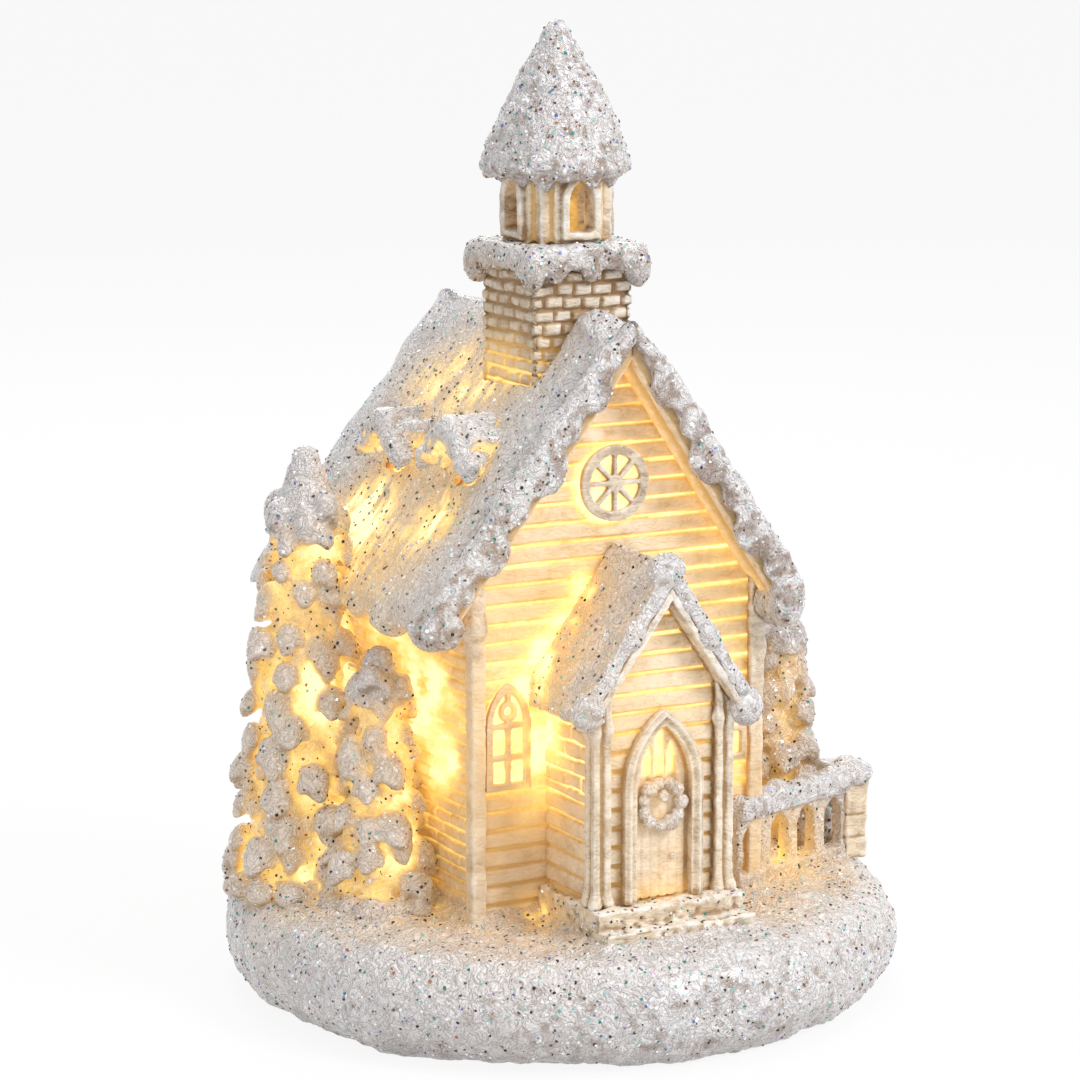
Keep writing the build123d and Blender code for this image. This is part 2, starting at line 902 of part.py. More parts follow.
def eave_lumps(side):
    """Fat drips of snow along the eave of one slope, with room for the tall tree."""
    x = ridge_x + side * (reach[side] + snow_lip - eave_lump_inset)
    z = apex - rise[side] * reach[side] + eave_lump_drop
    pitch = (roof_back - roof_front) / eave_lump_count
    slab = slope_slab(side, ridge_x, apex, rise[side], reach[side], roof_depth, roof_front, roof_back)
    room = [slab, house_block(corner_post_proud + snow_gap)]
    room.append(rod(tall_tree_rim, tall_tree_x, tall_tree_y, 0, past))
    lumps = []
    for number in range(eave_lump_count):
        lump = Pos(x, roof_front + (number + 0.5) * pitch, z) * Sphere(eave_lump_radius)
        lumps.append(lump - room)
    return lumps


def roof_snow(side):
    """Snow blanket on one roof slab, with lumps along its edges, open round the tower."""
    blanket = slope_snow(
        side,
        ridge_x,
        apex,
        rise[side],
        reach[side],
        roof_depth,
        snow_depth,
        snow_lip,
        snow_tip_round,
        roof_front,
        roof_back,
    )
    blanket += edge_lumps(side) + eave_lumps(side)
    low, high = sorted((ridge_x, ridge_x - side * past / 4))
    blanket -= block(low, high, -past / 4, past / 4, floor, past)
    clear = tower_side / 2 + snow_gap
    blanket -= block(ridge_x - clear, ridge_x + clear, tower_y - clear, tower_y + clear, floor, past)
    if side < 0:
        blanket -= [tall_tree(tree_clearance), small_tree(tree_clearance)]
        for y, peak in dormer_places():
            blanket -= dormer_shaft(y, peak)
    return blanket


def dormer(y, peak):
    """Small gabled dormer that stands on the left slope and faces -X."""
    face_x = ridge_x - dormer_face
    back_x = ridge_x - tower_side / 2 - snow_gap

    def gabled(half, top):
        low = top - past / 2
        corners = [(y - half, low), (y + half, low)]
        corners.append((y + half, top - dormer_rise * half))
        corners.append((y, top))
        corners.append((y - half, top - dormer_rise * half))
        return polygon(corners)

    under = peak - dormer_snow
    eave_low = under - dormer_rise * dormer_eave
    hood = [(y, peak), (y + dormer_eave, eave_low + dormer_snow), (y + dormer_eave, eave_low), (y, under)]
    hood.append((y - dormer_eave, eave_low))
    hood.append((y - dormer_eave, eave_low + dormer_snow))
    solid = along(gabled(dormer_half, under), face_x, back_x)
    solid += along(polygon(hood), face_x - dormer_overhang, back_x)
    inner = dormer_half - dormer_wall
    solid -= along(gabled(inner, under - dormer_wall), face_x + dormer_wall, back_x)
    arch_peak = under - 2 * dormer_wall
    arch = pointed(dormer_arch_half, arch_peak - past / 2, arch_peak - 2 * dormer_arch_half, arch_peak)
    solid -= along(moved(arch, y, 0), face_x - wall, face_x + wall)
    return solid - under_gable(ridge_x, apex, rise, roof_depth + snow_depth)


# Pieces of the bell tower


def tower_shaft():
    """Brick shaft that straddles the ridge."""
    half = tower_side / 2
    inner = half - tower_wall
    shaft = block(ridge_x - half, ridge_x + half, tower_y - half, tower_y + half, floor, ledge_bottom)
    shaft -= block(ridge_x - inner, ridge_x + inner, tower_y - inner, tower_y + inner, 0, past)
    return shaft - under_gable(ridge_x, apex, rise, roof_depth)


def tower_ledge():
    """Snow-topped ledge between the shaft and the belfry."""
    slab = Box(ledge_side, ledge_side, ledge_depth)
    slab = fillet(slab.edges(), ledge_round)
    slab -= Cylinder(belfry_bore_radius, 2 * ledge_depth)
    return Pos(ridge_x, tower_y, ledge_bottom + ledge_depth / 2) * slab


def belfry():
    """Eight-sided bell stage with a pointed window in each wide face."""
    stage = chamfer(Rectangle(belfry_side, belfry_side).vertices(), belfry_chamfer)
    solid = extrude(stage - Circle(belfry_bore_radius), belfry_height)
    spring = belfry_window_sill + belfry_window_height - belfry_window_rise
    peak = belfry_window_sill + belfry_window_height
    opening = pointed(belfry_window_half, belfry_window_sill, spring, peak)
    solid -= across(opening, -belfry_side, belfry_side)
    solid -= along(opening, -belfry_side, belfry_side)
    return Pos(ridge_x, tower_y, belfry_bottom) * solid


def spire_cap():
    """Snowy cone with a rounded tip and a lip round the top of the belfry."""
    half = belfry_side / 2
    seat = hypot(half, half - belfry_chamfer) + spire_clearance
    tip_z = spire_height - spire_tip_height
    tip_curve = (spire_tip_radius**2 + spire_tip_height**2) / (2 * spire_tip_height)
    half_turn = atan2(spire_tip_radius, tip_curve - spire_tip_height) / 2
    side = Line((spire_radius, 0), (spire_tip_radius, tip_z))
    tip = ThreePointArc(
        (spire_tip_radius, tip_z),
        (tip_curve * sin(half_turn), spire_height - tip_curve * (1 - cos(half_turn))),
        (0, spire_height),
    )
    edges = [side, tip, Line((0, spire_height), (0, 0)), Line((0, 0), (seat, 0))]
    edges.append(Line((seat, 0), (seat, -spire_eave_drop)))
    rim = (spire_radius + seat) / 2
    edges.append(Line((seat, -spire_eave_drop), (rim, -spire_eave_drop)))
    edges.append(Line((rim, -spire_eave_drop), (spire_radius, 0)))
    cone = revolve(Plane.XZ * make_face(edges), Axis.Z)
    hollow_height = spire_height * belfry_bore_radius / spire_radius
    cone -= turned([(0, 0), (belfry_bore_radius, 0), (spire_wall / 2, hollow_height), (0, hollow_height)])
    return Pos(ridge_x, tower_y, spire_bottom) * cone


# Pieces of the porch

post_front = porch_front - porch_post_proud
post_back = post_front + porch_post_size
door_half = surround_half - surround_band
door_peak = inset_peak(surround_half, surround_spring, surround_peak, surround_band)


def door_opening(half_cut):
    """Doorway face, drawn in by the given clearance."""
    face = pointed(door_half - half_cut, 0, surround_spring, door_peak - half_cut)
    return moved(face, ridge_x, porch_floor_top)


def porch_front_wall():
    """Clapboard gable of the porch with the pointed doorway."""
    inner = porch_half - porch_post_size
    left = ridge_x - inner
    right = ridge_x + inner
    panel = block(left, right, porch_front, porch_front + porch_wall, porch_floor_top, apex)
    panel &= under_gable(ridge_x, porch_peak, porch_slopes, 0)
    panel -= across(door_opening(0), porch_front - wall, porch_front + 2 * wall)
    return panel - boards(left, right, porch_front, porch_floor_top, porch_peak)


def porch_side_wall(side):
    """Side wall of the porch, from its post back to the front gable."""
    outer = ridge_x + side * (porch_half - porch_post_proud / 2)
    xs = sorted((outer, outer - side * porch_wall))
    panel = block(*xs, post_back, front_y, porch_floor_top, apex)
    return panel & under_gable(ridge_x, porch_peak, porch_slopes, 0)


def porch_post(side):
    """Square post at a front corner of the porch."""
    outer = ridge_x + side * porch_half
    xs = sorted((outer, outer - side * porch_post_size))
    post = block(*xs, post_front, post_back, porch_floor_top, apex)
    return post & under_gable(ridge_x, porch_peak, porch_slopes, 0)


def porch_roof(side):
    """Roof slab of the porch."""
    front = post_front - porch_overhang
    run = porch_reach[side]
    return slope_slab(side, ridge_x, porch_peak, porch_slopes[side], run, porch_roof_depth, front, front_y)


def porch_snow(side):
    """Snow blanket on the porch roof."""
    return slope_snow(
        side,
        ridge_x,
        porch_peak,
        porch_slopes[side],
        porch_reach[side],
        porch_roof_depth,
        porch_snow_depth,
        porch_snow_lip,
        porch_snow_round,
        post_front - porch_overhang,
        front_y,
    )


def porch_steps():
    """Porch floor with a lower step along its front."""
    half = porch_half + porch_floor_side
    floor_front = porch_front - porch_floor_front
    slab = block(ridge_x - half, ridge_x + half, floor_front, front_y, floor, porch_floor_top)
    step = block(
        ridge_x - half,
        ridge_x + half,
        floor_front - step_depth,
        floor_front,
        floor,
        floor + step_height,
    )
    return slab + step


def door_surround():
    """Raised pointed moulding round the doorway."""
    outer = pointed(surround_half, 0, surround_spring, surround_peak)
    face = moved(outer, ridge_x, porch_floor_top) - door_opening(0)
    return across(face, porch_front - surround_proud, porch_front)


def front_door():
    """Plank door with three small lights under its point."""
    face_y = porch_front + leaf_setback
    leaf = across(door_opening(leaf_clearance), face_y, face_y + leaf_thickness)
    for number in (-1, 0, 1):
        x = ridge_x + number * light_spacing
        low = porch_floor_top + light_sill
        half = light_width / 2
        leaf -= block(x - half, x + half, porch_front - past, front_y, low, low + light_length)
    for side in (-1, 1):
        x = ridge_x + side * light_spacing / 2
        half = plank_groove / 2
        top = porch_floor_top + light_sill
        leaf -= block(x - half, x + half, face_y, face_y + plank_groove, porch_floor_top, top)
    return leaf


def wreath():
    """Evergreen ring that lies flat against the door."""
    face_y = porch_front + leaf_setback
    ring = Pos(ridge_x, face_y - wreath_tube + wreath_sink, porch_floor_top + wreath_height) * Rot(90, 0, 0)
    solid = ring * Torus(wreath_radius, wreath_tube)
    return solid - block(-past, past, face_y, past, 0, past)


# Pieces of the balustrade


def rail_run(length, gaps):
    """Balustrade run along +X from the origin, with arched gaps."""
    bed = block(0, length, -plinth_width / 2, plinth_width / 2, 0, plinth_height)
    panel_top = rail_top - rail_depth
    panel = block(0, length, -panel_width / 2, panel_width / 2, plinth_height, panel_top)
    pitch = length / gaps
    half = (pitch - baluster_width) / 2
    for number in range(gaps):
        x = (number + 0.5) * pitch
        spring = panel_top - half - plinth_height / 4
        hole = moved(Circle(half), x, spring)
        hole += moved(Rectangle(2 * half, spring - plinth_height), x, (spring + plinth_height) / 2)
        panel -= across(hole, -rail_width, rail_width)
    rail = block(0, length, -rail_width / 2, rail_width / 2, panel_top, rail_top)
    return bed + panel + rail


def balustrade_front():
    """Front run, from the chapel's right wall to the pier."""
    start_x = right_x
    heading = degrees(atan2(pier_y - rail_start_y, pier_x - start_x))
    length = hypot(pier_x - start_x, pier_y - rail_start_y)
    run = Pos(start_x, rail_start_y, floor) * Rot(0, 0, heading) * rail_run(length, front_gaps)
    return run - house_block(0) - pier_keepout() - corner_post(1, -1)


def pier_keepout():
    """Square plan of the corner pier, running right up."""
    half = pier_size / 2
    return block(pier_x - half, pier_x + half, pier_y - half, pier_y + half, floor - past, past)


def corner_pier():
    """Pier that turns the balustrade's corner."""
    half = pier_size / 2
    return block(pier_x - half, pier_x + half, pier_y - half, pier_y + half, floor, floor + rail_top)


def balustrade_return():
    """Short run from the pier back to the fir on the terrace."""
    start_y = pier_y + pier_size / 2
    run = Pos(pier_x, start_y, floor) * Rot(0, 0, 90) * rail_run(return_length, 1)
    return run - side_tree(tree_clearance)


# All nodes of the ornament
nodes = {
    "base_mound": base_mound(),
    "bottom_cover": bottom_cover(),
    "cover_screws": cover_screws(),
    "battery_box": battery_box(),
    "battery_cells": battery_cells(),
    "plate_contacts": plate_contacts(),
    "spring_contacts": spring_contacts(),
    "battery_door": battery_door(),
    "switch_body": switch_body(),
    "switch_knob": switch_knob(),
    "switch_leads": switch_leads(),
    "led_mast": led_mast(),
    "led_board": led_board(),
    "leds": leds(),
    "led_leads": led_leads(),
    "front_wall": front_wall(),
    "rear_wall": rear_wall(),
    "left_wall": side_wall(-1),
    "right_wall": side_wall(1),
    "corner_post_front_left": corner_post(-1, -1),
    "corner_post_front_right": corner_post(1, -1),
    "corner_post_rear_left": corner_post(-1, 1),
    "corner_post_rear_right": corner_post(1, 1),
    "round_window": round_window(),
    "roof_left": main_roof(-1),
    "roof_right": main_roof(1),
    "roof_snow_left": roof_snow(-1),
    "roof_snow_right": roof_snow(1),
    "tower_shaft": tower_shaft(),
    "tower_ledge": tower_ledge(),
    "belfry": belfry(),
    "spire_cap": spire_cap(),
    "porch_steps": porch_steps(),
    "porch_front_wall": porch_front_wall(),
    "porch_wall_left": porch_side_wall(-1),
    "porch_wall_right": porch_side_wall(1),
    "porch_post_left": porch_post(-1),
    "porch_post_right": porch_post(1),
    "porch_roof_left": porch_roof(-1),
    "porch_roof_right": porch_roof(1),
    "porch_snow_left": porch_snow(-1),
    "porch_snow_right": porch_snow(1),
    "door_surround": door_surround(),
    "front_door": front_door(),
    "wreath": wreath(),
    "balustrade_front": balustrade_front(),
    "balustrade_return": balustrade_return(),
    "corner_pier": corner_pier(),
    "tall_tree": tall_tree(0),
    "small_tree": small_tree(0),
    "side_tree": side_tree(0),
}
for name, (y, peak) in zip(("dormer_front", "dormer_rear"), dormer_places()):
    nodes[name] = dormer(y, peak)
sill = floor + front_window_sill
nodes["window_front_left"] = Pos(ridge_x + left_window_x, front_y, sill) * window_piece()
nodes["window_front_right"] = Pos(ridge_x + right_window_x, front_y, sill) * window_piece()
nodes["window_rear"] = Pos(ridge_x, rear_y, floor + rear_window_sill) * Rot(0, 0, 180) * window_piece()
for name, y in zip(("window_right_front", "window_right_rear"), side_window_places()):
    nodes[name] = Pos(right_x, y, floor + side_window_sill) * Rot(0, 0, 90) * window_piece()

os.makedirs("parts", exist_ok=True)
for name, shape in nodes.items():
    export_step(shape, f"parts/{name}.step")
tip = round(spire_bottom + spire_height, 2)
print(len(nodes), "nodes, plateau at", round(floor, 2), "mm, tip at", tip, "mm")
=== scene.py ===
# %% [markdown]
# A snow-covered chapel ornament that lights up from inside.
# The real thing is cast: cream walls with a brown wash in every recess, and a thick crust of
# white snow full of glitter flakes. Warm light shines through the thin places of the casting.
# The packed solids give every size. This lesson dresses them: each solid becomes a sculpted skin.

# %% Load the packed chapel
import bmesh
import bpy
import math
import numpy as np
from mathutils import Euler, Matrix, Vector
from mathutils.bvhtree import BVHTree


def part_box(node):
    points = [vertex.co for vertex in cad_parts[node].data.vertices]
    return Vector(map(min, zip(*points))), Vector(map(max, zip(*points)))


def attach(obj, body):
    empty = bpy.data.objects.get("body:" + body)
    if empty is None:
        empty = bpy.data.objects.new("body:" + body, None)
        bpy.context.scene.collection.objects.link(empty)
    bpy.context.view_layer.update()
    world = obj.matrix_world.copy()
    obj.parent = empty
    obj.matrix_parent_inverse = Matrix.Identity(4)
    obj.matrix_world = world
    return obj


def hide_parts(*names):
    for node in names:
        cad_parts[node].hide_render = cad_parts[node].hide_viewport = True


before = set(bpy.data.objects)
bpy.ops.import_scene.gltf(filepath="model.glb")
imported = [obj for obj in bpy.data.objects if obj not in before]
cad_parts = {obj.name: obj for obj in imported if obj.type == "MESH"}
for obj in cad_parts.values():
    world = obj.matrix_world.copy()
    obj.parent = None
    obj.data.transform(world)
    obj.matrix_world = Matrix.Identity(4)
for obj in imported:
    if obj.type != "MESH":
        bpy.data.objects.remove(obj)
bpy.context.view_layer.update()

# %% [markdown]
# The camera comes first, because everything is judged through it. It stands in front of the
# porch and a little to its left, slightly above the mound, with a long lens.

# %% Camera
target = Vector((-0.0045, 0.002, 0.105))
azimuth = math.radians(-28.5)
elevation = math.radians(10.5)
camera_distance = 0.850
back = Vector((
    math.sin(azimuth) * math.cos(elevation),
    -math.cos(azimuth) * math.cos(elevation),
    math.sin(elevation),
))
camera_data = bpy.data.cameras.new("camera")
camera_data.lens = 121.55
camera_data.sensor_width = 36.0
camera = bpy.data.objects.new("camera", camera_data)
camera.location = target + back * camera_distance
camera.rotation_euler = back.to_track_quat("Z", "Y").to_euler()
bpy.context.scene.collection.objects.link(camera)
bpy.context.scene.camera = camera
print("camera at", [round(value, 3) for value in camera.location])

# %% [markdown]
# Sculpting is easier to read in millimetres, so all shapes are worked out in millimetres and
# scaled once, when a mesh is made. The main levels and faces are read off the packed solids.

# %% Measures from the frame
MM = 0.001


def box(node):
    """Lowest and highest corner of a packed solid, in millimetres."""
    low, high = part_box(node)
    return np.array(low) / MM, np.array(high) / MM


front_low, front_high = box("front_wall")
rear_y = box("rear_wall")[1][1]
roof_low, roof_high = box("roof_left")
eave_low, eave_high = box("roof_right")
belfry_low, belfry_high = box("belfry")
mound_low, mound_high = box("base_mound")
ridge_x = (belfry_low[0] + belfry_high[0]) / 2
tower_y = (belfry_low[1] + belfry_high[1]) / 2
floor_z = front_low[2]
apex_z = front_high[2]
left_x = front_low[0]
right_x = front_high[0]
front_y = front_low[1]
wall = front_high[1] - front_low[1]
left_rise = (apex_z - roof_low[2]) / (ridge_x - roof_low[0])
right_rise = (apex_z - eave_low[2]) / (eave_high[0] - ridge_x)
slab_depth = roof_high[2] - apex_z
snow_depth = 5.0
roof_front = roof_low[1]
roof_back = roof_high[1]
print("ridge", round(ridge_x, 2), "apex", round(apex_z, 2))
print("rise of the slopes", round(left_rise, 3), round(right_rise, 3))

# %% [markdown]
# One random field drives all unevenness. Value noise gives soft bumps: random heights on a
# lattice, eased between. It is worked out from integer keys, so each run gives the same snow.

# %% Random fields


def noise(points, size, seed):
    """Smooth random field from -1 to 1, with bumps about one size across."""
    cell = points / size + 17.3 * seed
    base = np.floor(cell).astype(np.int64)
    part = cell - base
    ease = part * part * part * (part * (part * 6 - 15) + 10)
    total = np.zeros(len(points))
    for number in range(8):
        step = np.array([number & 1, number >> 1 & 1, number >> 2 & 1])
        key = (base + step) @ np.array([73856093, 19349663, 83492791]) + 7919 * seed
        key = ((key ^ (key >> 13)) * 1274126177) & 0x7FFFFFFF
        key = ((key ^ (key >> 15)) * 668265263) & 0x7FFFFFFF
        weight = np.prod(np.where(step == 1, ease, 1 - ease), axis=1)
        total += weight * (key % 20011 / 10005.0 - 1)
    return total


def blend(low, high, values):
    """Smooth step from 0 at low to 1 at high."""
    share = np.clip((values - low) / (high - low), 0, 1)
    return share * share * (3 - 2 * share)


print("noise sample", np.round(noise(np.array([[1.0, 2.0, 3.0]]), 4.0, 1), 3))

# %% [markdown]
# The lamp inside shines through where the casting is thin: round the dormers, at the tower's
# foot, on the left wall behind the firs and in the corner beside the porch. Each warm place is
# a point, how far its light spreads and how strong it is. Every skin asks the same list.

# %% Warm places
warm_places = np.array([
    (-39, -6, 68, 13, 0.9), (-39, -14, 77, 11, 0.9), (-39, -17, 60, 11, 0.8), (-39, 6, 87, 13, 0.8),
    (-39, 22, 84, 13, 0.8), (-40, 12, 62, 16, 0.7), (-41, -4, 42, 13, 0.5),
    (-21, 31, 141, 8, 0.6), (-18, 22, 145, 7, 0.55), (-15, -9, 149, 7, 0.7), (-17, 2, 147, 7, 0.7),
    (-21, 10, 141, 6, 0.3), (-42, 21, 114, 8, 1.3), (-41, -13, 116, 7, 1.3), (-46, 24, 108, 7, 0.9),
    (-44, 6, 112, 7, 0.5), (-50, 30, 104, 8, 0.7), (-19, 4, 146, 17, 0.42), (-30, 12, 131, 14, 0.3),
    (-46, -8, 108, 16, 0.25), (-47, 14, 108, 12, 0.4), (-24, -42, 90, 14, 0.3),
    (-12, -33, 100, 4.5, 1.1), (-17, -33, 93.5, 4.5, 1.1), (-22, -33, 86.5, 4.5, 1.1), (-26, -33, 81, 5, 1.1),
    (-24, -32, 67, 11, 1.25), (-23, -36, 28, 4, 1.0), (-24, -34, 52, 9, 0.4),
    (36, -22, 28, 6, 1.7), (45, -19, 27, 6, 1.5), (34, -20, 55, 12, 0.7), (40, -10, 40, 16, 0.8),
    (-4.5, -52, 62, 9, 0.4), (-4.5, -54, 36, 8, 0.35), (-30, -44, 25, 13, 0.3), (22, -46, 25, 13, 0.3),
    (48, -30, 25, 13, 0.35), (-46, -22, 26, 12, 0.35), (-64, 4, 25, 10, 0.4),
], dtype=float)


def warmth(points, spread):
    """Light that comes through at each point; spread widens every warm place."""
    total = np.zeros(len(points))
    for x, y, z, reach, strength in warm_places:
        gap = np.sum((points - (x, y, z)) ** 2, axis=1)
        total += strength * np.exp(-gap / (reach * spread) ** 2)
    return total


print("warm places:", len(warm_places))

# %% [markdown]
# Brown gathers in corners, behind posts and under rims: partly the real wash that the brush cannot
# wipe off, partly painted shade. A point is sheltered when rays that leave it soon hit one of the
# packed solids.

# %% Sheltered corners


def ray_target():
    """All packed solids in one tree for casting rays."""
    corners, faces = [], []
    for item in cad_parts.values():
        start = len(corners)
        corners += [tuple(vertex.co) for vertex in item.data.vertices]
        faces += [[start + number for number in face.vertices] for face in item.data.polygons]
    return BVHTree.FromPolygons(corners, faces)


solids_tree = ray_target()
probe_ways = np.array([
    (1, 1, 1), (-1, -1, 1), (-1, 1, -1), (1, -1, -1), (-1, -1, -1), (1, 1, -1), (1, -1, 1), (-1, 1, 1),
]) / math.sqrt(3)


def shelter(points, normals, reach):
    """How much nearby solids close in on each point, from 0 to 1; reach in millimetres."""
    starts = ((points + 0.7 * normals) * MM).tolist()
    found = np.zeros(len(points))
    for turn in range(4):
        way = normals + 0.85 * probe_ways[turn + 4 * (np.arange(len(points)) % 2)]
        way = (way / np.linalg.norm(way, axis=1, keepdims=True)).tolist()
        for number, start in enumerate(starts):
            gap = solids_tree.ray_cast(start, way[number], reach * MM)[3]
            if gap is not None:
                found[number] += 1 - gap / (reach * MM)
    return found / 4


print("rays can hit", len(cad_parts), "solids")

# %% [markdown]
# A skin is a mesh whose points are held in an array, so that a formula can move them all at
# once. Relaxing pulls points towards their neighbours, pushing moves them along their normals,
# and the hollow depth says how far a point lies under the average of its surroundings.

# %% Skins


class Skin:
    """Points of a mesh in millimetres, for sculpting by formula."""

    def __init__(self, mesh):
        self.mesh = mesh
        flat = np.empty(3 * len(mesh.vertices))
        mesh.vertices.foreach_get("co", flat)
        self.points = flat.reshape(-1, 3) / MM
        pairs = np.empty(2 * len(mesh.edges), dtype=np.int32)
        mesh.edges.foreach_get("vertices", pairs)
        self.pairs = pairs.reshape(-1, 2)
        self.degree = np.maximum(np.bincount(pairs, minlength=len(self.points)), 1)

    def averaged(self, points):
        """Mean of each point's neighbours."""
        total = np.empty_like(points)
        first, second = self.pairs.T
        for axis in range(points.shape[1]):
            total[:, axis] = np.bincount(first, points[second, axis], len(points))
            total[:, axis] += np.bincount(second, points[first, axis], len(points))
        return total / self.degree[:, None]

    def relax(self, rounds, strength=0.5):
        """Evens out the surface."""
        for _ in range(rounds):
            self.points += strength * (self.averaged(self.points) - self.points)

    def normals(self):
        """Writes the points to the mesh and reads the normals there."""
        self.mesh.vertices.foreach_set("co", (self.points * MM).ravel())
        self.mesh.update()
        flat = np.empty(self.points.size)
        self.mesh.vertices.foreach_get("normal", flat)
        return flat.reshape(-1, 3)

    def push(self, distance):
        """Moves each point outwards by its distance."""
        self.points += self.normals() * np.asarray(distance).reshape(-1, 1)

    def hollow(self, rounds):
        """Depth of each point under its smoothed surroundings, positive in recesses."""
        normals = self.normals()
        soft = self.points.copy()
        for _ in range(rounds):
            soft += 0.5 * (self.averaged(soft) - soft)
        return np.sum((soft - self.points) * normals, axis=1)

    def shelter(self, reach):
        """Smoothed shelter of each point."""
        values = shelter(self.points, self.normals(), reach)[:, None]
        for _ in range(2):
            values = 0.5 * values + 0.5 * self.averaged(values)
        return values[:, 0]

    def store(self, **fields):
        """Writes named values to the mesh's points."""
        self.normals()
        for name, values in fields.items():
            attribute = self.mesh.attributes.get(name) or self.mesh.attributes.new(name, "FLOAT", "POINT")
            attribute.data.foreach_set("value", np.clip(values, 0, 1).astype(np.float32))


print("skin methods:", [name for name in vars(Skin) if not name.startswith("_")])

# %% [markdown]
# Shader and geometry nodes are written as sums. A wire wraps one output socket: adding or
# multiplying wires adds Math nodes to the tree. Any other node comes from one method, which
# takes the node's type, its settings and what goes into its sockets.

# %% Node trees as sums


class Wire:
    """One output socket of a node tree that can be used in sums."""

    def __init__(self, graph, socket):
        self.graph = graph
        self.socket = socket

    def math(self, operation, first, second=0.0):
        """Math node on two values."""
        return self.graph.node("ShaderNodeMath", {"operation": operation}, {0: first, 1: second})

    def __add__(self, other):
        return self.math("ADD", self, other)

    def __radd__(self, other):
        return self.math("ADD", other, self)

    def __sub__(self, other):
        return self.math("SUBTRACT", self, other)

    def __rsub__(self, other):
        return self.math("SUBTRACT", other, self)

    def __mul__(self, other):
        return self.math("MULTIPLY", self, other)

    def __rmul__(self, other):
        return self.math("MULTIPLY", other, self)

    def __truediv__(self, other):
        return self.math("DIVIDE", self, other)

    def size(self):
        """Value without its sign."""
        return self.math("ABSOLUTE", self)

    def clamped(self):
        """Value kept between 0 and 1."""
        return self.graph.node("ShaderNodeClamp", None, {"Value": self})


class Graph:
    """A node tree that is filled by calls."""

    def __init__(self, tree):
        self.tree = tree

    def node(self, kind, settings=None, sockets=None, outlet=0):
        """Adds a node, sets it up, fills its sockets and gives the wire of one outlet."""
        made = self.tree.nodes.new(kind)
        for key, value in (settings or {}).items():
            if key == "stops":
                self.set_stops(made.color_ramp, value)
            else:
                setattr(made, key, value)
        for key, value in (sockets or {}).items():
            if isinstance(value, Wire):
                self.tree.links.new(value.socket, made.inputs[key])
            else:
                made.inputs[key].default_value = value
        return Wire(self, made.outputs[outlet])

    def set_stops(self, ramp, stops):
        """Places and colours of a ramp's stops."""
        while len(ramp.elements) < len(stops):
            ramp.elements.new(1.0)
        for element, (place, colour) in zip(ramp.elements, stops):
            element.position = place
            element.color = colour

    def mix(self, share, first, second):
        """Colour that goes from first to second as the share goes from 0 to 1."""
        return self.node("ShaderNodeMix", {"data_type": "RGBA"}, {0: share, 6: first, 7: second}, 2)

    def field(self, name):
        """Value that a skin stored on its points."""
        return self.node("ShaderNodeAttribute", {"attribute_name": name}, None, "Fac")

    def spots(self, place, scale, detail=2.0):
        """Soft noise from 0 to 1."""
        return self.node("ShaderNodeTexNoise", None, {"Vector": place, "Scale": scale, "Detail": detail})

    def folds(self, place, scale, bend):
        """Crumpled noise, 0 along its creases."""
        values = {"Vector": place, "Scale": scale, "Detail": 1.7, "Distortion": bend}
        return (self.node("ShaderNodeTexNoise", None, values) * 2.0 - 1.0).size()

    def ramp(self, value, stops):
        """Colour at a value along the stops."""
        return self.node("ShaderNodeValToRGB", {"stops": stops}, {0: value})


def shade(red, green, blue):
    """Colour from screen values of 0 to 255."""
    def linear(value):
        """Light of one screen value."""
        share = value / 255
        return share / 12.92 if share <= 0.04045 else ((share + 0.055) / 1.055) ** 2.4
    return (linear(red), linear(green), linear(blue), 1.0)


def new_material(name):
    """Empty material with its graph and its shader node."""
    material = bpy.data.materials.new(name)
    material.use_nodes = True
    shader = material.node_tree.nodes["Principled BSDF"]
    return material, Graph(material.node_tree), shader


def feed(graph, shader, **sockets):
    """Links or sets the shader's sockets, with spaces in their names as underscores."""
    for name, value in sockets.items():
        inlet = shader.inputs[name.replace("_", " ")]
        if isinstance(value, Wire):
            graph.tree.links.new(value.socket, inlet)
        else:
            inlet.default_value = value


print("white", [round(value, 3) for value in shade(255, 255, 255)])

# %% [markdown]
# The light that comes through the casting is painted as emission. One ramp serves every piece:
# dull orange where little comes through, then gold, then nearly white. A streaky noise breaks
# it up, as the grains of the crust do.

# %% Glow of the lamp
glow_stops = [
    (0.0, (0.0, 0.0, 0.0, 1.0)),
    (0.3, (0.2, 0.117, 0.024, 1.0)),
    (0.6, (0.62, 0.44, 0.105, 1.0)),
    (1.0, (1.0, 0.9, 0.52, 1.0)),
]


def glow_colour(graph, place):
    """Emission colour from the skin's glow value."""
    streaks = graph.spots(place, 900.0, 3.0)
    level = graph.field("glow") * (0.7 + 0.6 * streaks)
    return graph.ramp(level, glow_stops)


print("glow in", len(glow_stops), "stops")
